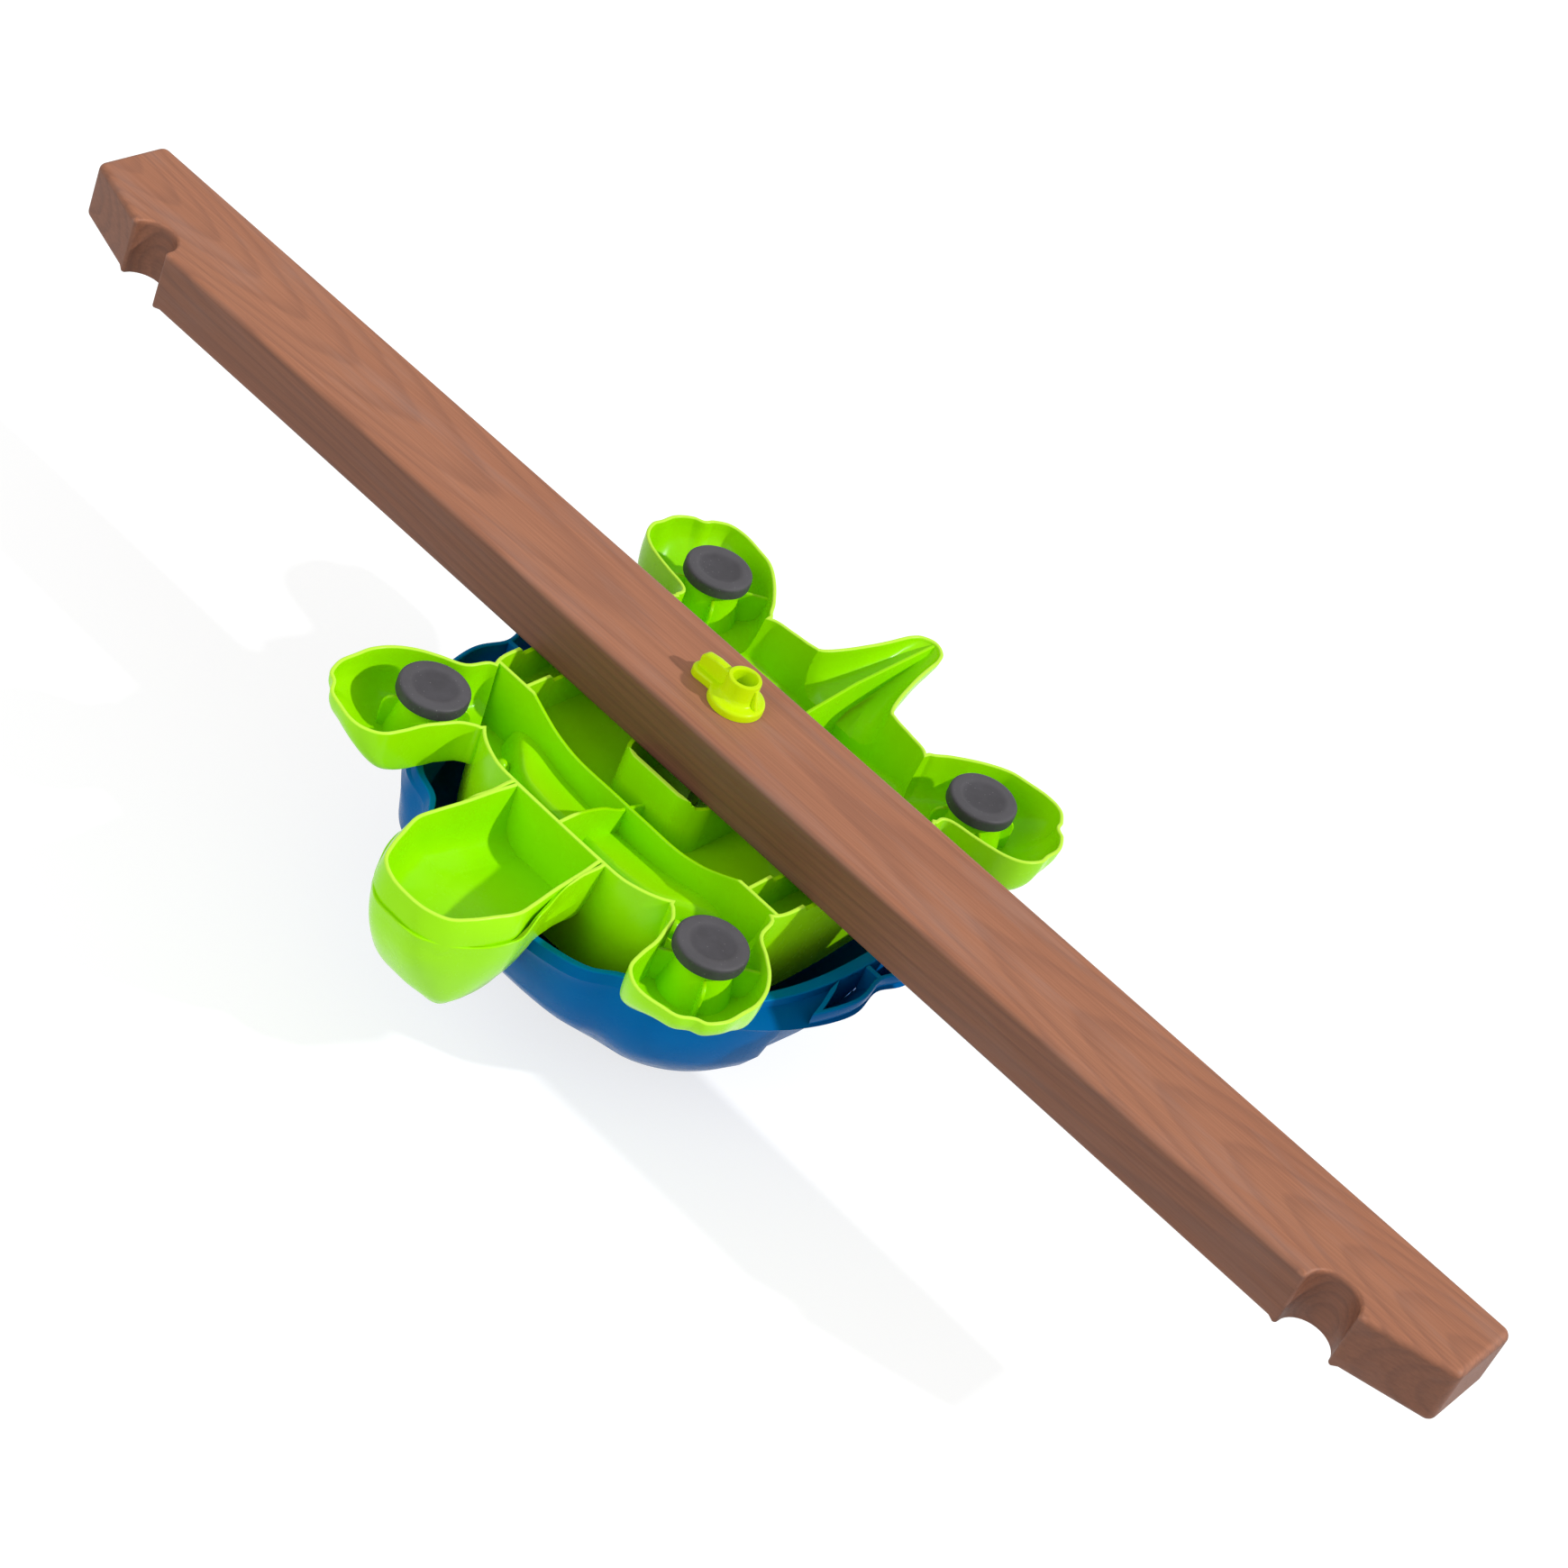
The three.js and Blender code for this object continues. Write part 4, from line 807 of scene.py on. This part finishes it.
# Shell
# The blue rocker under the body, moulded in polypropylene to look like a turtle's back: an oval dome
# of raised panels with valleys between them. Its rim is an oval lip, from which shoulders slope out,
# and on either side a curled petal stands off the flank with a pocket behind it.
shell_rim, lip_low, shell_wall = 150.0, 141.0, 3.5
shell_half = np.array([203.0, 206.0])
oval_half = np.array([170.0, 203.0])
flute_depth, petal_step = 8.0, 10.0
petal_turn = math.radians(24)
shell_shares = [
    (0.985, 0.995, 0.06, 2.1), (0.96, 0.98, 0.12, 2.25), (0.915, 0.945, 0.22, 2.45), (0.885, 0.91, 0.36, 2.6),
    (0.83, 0.83, 0.5, 2.7), (0.755, 0.72, 0.645, 2.9), (0.645, 0.62, 0.787, 2.9), (0.49, 0.47, 0.915, 2.8),
    (0.34, 0.33, 0.97, 2.4), (0.168, 0.165, 1, 2)]
shell_turn = np.arange(360) * 2 * math.pi / 360
turn_cos, turn_sin = np.cos(shell_turn), np.sin(shell_turn)
valley = np.abs(np.cos(3 * shell_turn)) ** 24


def superellipse(half, power):
    """Radius at each angle of an oval that is squarer than an ellipse where the power is over 2."""
    return ((np.abs(turn_cos) / half[0]) ** power + (np.abs(turn_sin) / half[1]) ** power) ** (-1 / power)


def shell_level(radius, height):
    """Ring of points from a radius and a height for each angle."""
    return np.column_stack([radius * turn_cos, radius * turn_sin, np.broadcast_to(height, 360)])


rim_oval = superellipse(oval_half, 2.35) - 9 * valley * turn_sin**2 * 4 / 3
lip = rim_oval + 4 + 6 * turn_cos**2
widest = superellipse(shell_half, 2.1) - flute_depth * valley
off_axis = np.abs(np.arctan2(turn_sin, np.abs(turn_cos)))
under_petal = 1 - smoothstep((off_axis - petal_turn) / math.radians(3) + 0.5)


def flank(gap):
    """Rings of the dome below its widest line. A superellipse's radius at each angle less the valleys
    and, under the petals, a step that fades to the crown. The gap draws them in."""
    rings = []
    for width, length, depth, power in shell_shares:
        radius = superellipse(shell_half * (width, length), power)
        inward = (flute_depth * valley + petal_step * under_petal) * min(1, 2 * (1 - depth)) * width
        radius = radius - inward - gap
        rings.append(shell_level(radius, lip_low * (1 - depth) + gap * depth))
    return rings


def dome_space(name):
    """Space inside the dome's wall, up to above the rim."""
    radius = widest - shell_wall
    rings = [shell_level(radius, shell_rim + 5), shell_level(radius, lip_low)]
    return ring_skin(name, rings + flank(shell_wall))


def shoulder_form(name):
    """Dome with a narrow lip round the oval rim, a crease under it, and shoulders that slope from the
    crease to the widest line."""
    rings = [shell_level(lip - 1.4 * (1 - math.sin(a)), shell_rim - 1.4 * (1 - math.cos(a)))
             for a in np.radians([0, 30, 60, 90])]
    rings.append(shell_level(lip + 1, shell_rim - 6))
    reach = np.maximum(widest - lip - 1, 0.6)
    for share in (0.15, 0.4, 0.7, 0.9, 1.0):
        drop = 6 + 0.3 * reach * share**1.4 + 3 * share
        rings.append(shell_level(lip + 1 + reach * share, np.minimum(shell_rim - drop, 143)))
    return ring_skin(name, rings + flank(0))


curl_profile = [(1.4, 150), (0.7, 149.8), (0.2, 149.3), (0, 148.6), (0, 144), (2, 138), (7, 131), (16, 122),
                (34, 107)]
room_profile = [(2.6, 155), (2.6, 150), (3.6, 149), (3.8, 143), (6, 136.5), (11.5, 129.5), (20, 121.5),
                (34, 109)]


def curl_form(name, profile):
    """Shallow bowl of the petals, from a profile of distances inside their band and heights."""
    band = superellipse(np.array([203.0, 207.0]), 2.15) - flute_depth * valley
    return ring_skin(name, [shell_level(band - gap, z) for gap, z in profile])


def petal_plan(name, inner, low, high):
    """Upright prism over the plan of one side's petal: outside a line that leaves the lip and runs out
    to the widest part. The other side is its mirror image."""
    line = [(180.5, 0), (180.3, 15), (179, 30), (181.5, 42), (188, 60), (193, 77), (198, 90)]
    front = np.array([(x + inner * (y > 32) * 0.8, y - inner * 0.5 * (y > 32)) for x, y in line])
    right = np.vstack([front * (1, -1), [(240, -108 + inner), (240, 108 - inner)], front[::-1]])
    return [ring_skin(name, [lift(anticlockwise(right * (sign, 1)), high),
                             lift(anticlockwise(right * (sign, 1)), low)]) for sign in (1, -1)]


shell = shoulder_form("shell")
for side in petal_plan("petal", 0, 96, 160):
    curl = curl_form("curl", curl_profile)
    work(curl, [side], "INTERSECT")
    work(shell, [curl], "UNION")
middle = dome_space("middle")
work(middle, [block("low_part", (-300, -300, -1), (300, 300, 104.5))], "INTERSECT")
well = ring_skin("well", [shell_level(rim_oval + 1.4 * (1 - math.sin(a)), z) for a, z in
                          ((0, 156), (0, shell_rim), (0.5, shell_rim - 0.2), (1.57, shell_rim - 1.4))]
                 + [shell_level(rim_oval, 142), shell_level(rim_oval + 5 * turn_cos**2, 139),
                    shell_level(rim_oval + 4 * turn_cos**2, 120), shell_level(rim_oval * 0.92, 99.5)])
work(well, [dome_space("keep")], "INTERSECT")
pockets = []
for side in petal_plan("pocket", 3.5, 109, 160):
    room = curl_form("room", room_profile)
    work(room, [side], "INTERSECT")
    work(room, [block("web", (-300, -1.75, 0), (300, 1.75, 300))], "DIFFERENCE")
    pockets.append(room)
dome = twin(shell)
work(shell, [middle, well] + pockets, "DIFFERENCE")
bosses = rod("boss", 7, 3.5, 124.9, *screws[0], 24)
work(bosses, [rod("boss", 7, 3.5, 124.9, x, y, 24) for x, y in screws[1:]], "UNION")
work(bosses, [dome], "INTERSECT")
work(shell, [bosses], "UNION")
work(shell, [rod("pilot", 1.8, 108, 150, x, y, 16) for x, y in screws], "DIFFERENCE")
# The second colour is a painted highlight along the top of the shell's lip.
blue = lime_plastic("blue_plastic", (0.0, 0.13, 0.385), (0.0, 0.2, 0.5), (0.0, 0.115, 0.36), 0.15, 0.02)
finish(shell, "shell_moulding", blue, "turtle", ["shell"])

# Foot pads
# Four dark grey rubber feet, cast round with a shallow dished top and a plug that is pressed into the
# post under each.
pad_profile = [(0.5, 210.9), (13, 210.9), (15.5, 211.1), (17.5, 211.8), (19, 212), (23.6, 212), (25.2, 211.5),
               (26.1, 210.4), (26.4, 209), (26.4, 203), (26.1, 202), (25.2, 201.5), (6, 201.5), (6, 190.3),
               (5.2, 189.5), (0.5, 189.5)]
rubber, nodes, links, shader = material("dark_rubber", Specular_IOR_Level=0.35, Roughness=0.62)
place = nodes.new("ShaderNodeTexCoord").outputs["Object"]
cloud = noise(nodes, links, place, 55, 5, (1, 1, 1), 0.65)
tone = ramp(nodes, links, cloud, [(0.3, (0.045, 0.042, 0.048)), (0.72, (0.072, 0.068, 0.078))])
speck = nodes.new("ShaderNodeTexVoronoi")
speck.inputs["Scale"].default_value = 260
links.new(place, speck.inputs["Vector"])
dust = sum_node(nodes, links, "LESS_THAN", speck.outputs["Distance"], 0.09)
tone = blend_colour(nodes, links, sum_node(nodes, links, "MULTIPLY", dust, 0.35), tone, (0.4, 0.4, 0.4))
axes = nodes.new("ShaderNodeSeparateXYZ")
links.new(place, axes.inputs[0])
worn = tune(nodes, "ShaderNodeMapRange", From_Min=0.2105, From_Max=0.2119)
links.new(axes.outputs[2], worn.inputs["Value"])
tone = blend_colour(nodes, links, sum_node(nodes, links, "MULTIPLY", worn.outputs[0], 0.3), tone,
                    (0.16, 0.155, 0.165))
links.new(tone, shader.inputs["Base Color"])
links.new(ramp(nodes, links, cloud, [(0.3, 0.5), (0.7, 0.7)]), shader.inputs["Roughness"])
bump(nodes, links, shader, noise(nodes, links, place, 700, 3), 0.0002, 0.25)
for pad_name, centre in pads.items():
    pad = turned("pad", pad_profile, *centre)
    finish(pad, "foot_pad_" + pad_name + "_rubber", rubber, "turtle",
           ["foot_pad_" + pad_name])

# Clamp knob
# A wing knob moulded in a yellower lime plastic: a flange with a barrel on it, one thick wing that
# runs down to a foot, and a thin gusset on the other side. The nut sits at the bottom of the barrel.
knob_low, flange_top, knob_top = 250.3, 256.8, 274.3
barrel_profile = [(11.4, knob_top), (12.1, 274.0), (12.5, 273.2), (12.9, 262), (13.6, 259), (15.2, 257.4),
                  (18.2, 256.8), (19.6, 256.5), (20.6, 255.6), (21, 254.2), (21, knob_low)]
knob = turned("knob", barrel_profile, 0, 0, 72)
foot = round_corners([(0, -11, 0), (0, 11, 0), (-21, 8, 30), (-41, 9.5, 8), (-41, -9.5, 8), (-21, -8, 30)], 8)
foot = anticlockwise(foot)
foot_rings = rounded_rim(foot, flange_top, 2.2, (0, 20, 40, 60, 80))
foot_skin = ring_skin("foot", foot_rings + [lift(foot, knob_low)])
wing = round_corners([(0, 251, 0), (-38.1, 251, 0), (-38.1, 264.8, 3), (-34.85, 269.4, 5), (-24.6, 271.3, 12),
                      (-8.8, 271.3, 0), (0, 271.3, 0)])
wing_skin = plate("wing", wing, 0, 7, 1, 2.4)
gusset = [(0, 251), (18.8, 251), (18.8, 256.8), (16.2, 262.5), (13.8, 270.4), (12.2, 272.1), (0, 272.1)]
gusset_skin = plate("gusset", gusset, 0, 3.5, 1, 0.9)
work(knob, [foot_skin, wing_skin, gusset_skin], "UNION")
bore = turned("bore", [(10, 280), (10, 275), (9.4, 274), (8.9, 273.2), (8.8, 272), (8.6, 261.2)], 0, 0, 48)
work(knob, [bore, rod("washer_recess", 12.3, 240, 252.2), rod("bolt_hole", bore_radius, 240, 280),
            rod("nut_pocket", 13.6 / math.sqrt(3), 254.4, 261.5, steps=6)], "DIFFERENCE")
knob_lime = lime_plastic("knob_plastic", (0.6, 0.86, 0.0), (0.72, 0.93, 0.12), (0.54, 0.8, 0.0), 0)
finish(knob, "clamp_knob_moulding", knob_lime, "knob", ["clamp_knob"])

# Clamp bolt, nut and washer
# M8 zinc plated steel. The bolt's head is caught in the socket under the hub, the nut is moulded into
# the knob, and the washer lies in a recess under the knob's flange.
hex_flats = 13.0
thread_crest, thread_root, thread_pitch = 4.0, 3.45, 1.25


def threaded(name, low, high, steps=24):
    """Round bar with a thread: the radius is a triangle wave of the height over the pitch, less the
    angle's share of a turn, so that the crest climbs once round in each pitch."""
    angle = np.arange(steps) * 2 * math.pi / steps
    levels = np.arange(high, low - 1e-6, -thread_pitch / 8)
    share = (levels[:, None] / thread_pitch - angle[None] / (2 * math.pi)) % 1
    radius = thread_root + (thread_crest - thread_root) * np.abs(2 * share - 1)
    radius[0] = radius[-1] = thread_root
    rings = np.stack([radius * np.cos(angle), radius * np.sin(angle),
                      np.broadcast_to(levels[:, None], radius.shape)], -1)
    return ring_skin(name, rings)


def hex_head(name, low, high, both_ends):
    """Hexagon whose corners are turned off to a cone at its free end, or at both ends."""
    prism = rod(name, hex_flats / math.sqrt(3), low, high, steps=6)
    side = hex_flats / 2
    cone = [(side - 0.3, low), (side + 1.6, low + 0.9)]
    cone += [(side + 1.6, high - 0.9), (side - 0.3, high)] if both_ends else [(side + 1.6, high)]
    return work(prism, [turned("chamfer", cone[::-1], 0, 0, 36)], "INTERSECT")


bolt = hex_head("bolt_head", 144.4, 149.7, False)
smooth_shank = rod("shank", 4, 149, 232.2, steps=24)
work(bolt, [smooth_shank, threaded("thread", 232, 263.2)], "UNION")
zinc, nodes, links, shader = material("zinc_plate", Metallic=1.0, Roughness=0.35)
place = nodes.new("ShaderNodeTexCoord").outputs["Object"]
cloud = noise(nodes, links, place, 120, 4)
tone = blend_colour(nodes, links, cloud, (0.5, 0.5, 0.49), (0.72, 0.72, 0.7))
spot = ramp(nodes, links, noise(nodes, links, place, 420, 3), [(0.62, 0.0), (0.7, 0.5)])
tone = blend_colour(nodes, links, spot, tone, (0.25, 0.2, 0.16))
links.new(tone, shader.inputs["Base Color"])
links.new(ramp(nodes, links, cloud, [(0.3, 0.25), (0.7, 0.5)]), shader.inputs["Roughness"])
bump(nodes, links, shader, noise(nodes, links, place, 900, 2), 0.0001, 0.3)
finish(bolt, "clamp_bolt_steel", zinc, "turtle", ["clamp_bolt"])
nut = hex_head("nut", 254.7, 261.2, True)
nut_bore = [(4.7, 262), (4.7, 261.2), (4.05, 260.5), (4.05, 255.4), (4.7, 254.7), (4.7, 254)]
work(nut, [turned("nut_bore", nut_bore, 0, 0, 36)], "DIFFERENCE")
finish(nut, "knob_nut_steel", zinc, "knob", ["knob_nut"])
washer = turned("washer", [(11.7, 251.9), (12, 251.6), (12, 250.3)], 0, 0, 48)
work(washer, [rod("washer_hole", bore_radius, 245, 255, steps=36)], "DIFFERENCE")
finish(washer, "knob_washer_steel", zinc, "knob_washer", ["knob_washer"])

# Shell screws
# Six zinc plated pan head screws, driven through the turtle's floor into the bosses of the shell. Each
# head has a crossed recess.
for number, (sx, sy) in enumerate(screws, 1):
    seat = floor_height(sx) + 1.8
    pan = [(0.4, 2.8), (2.2, 2.7), (3.4, 2.2), (4.05, 1.3), (4.2, 0.5), (4.2, 0)]
    pan = [(r, seat + h) for r, h in pan] + [(2, seat), (2, 127.2), (0.5, 124.9)]
    screw = turned("screw", pan, sx, sy, 24)
    slots = [block("recess", (sx - a, sy - b, seat + 1.2), (sx + a, sy + b, seat + 4))
             for a, b in ((2.1, 0.4), (0.4, 2.1))]
    work(screw, slots, "DIFFERENCE")
    finish(screw, f"shell_screw_{number}_steel", zinc, "turtle", [f"shell_screw_{number}"])
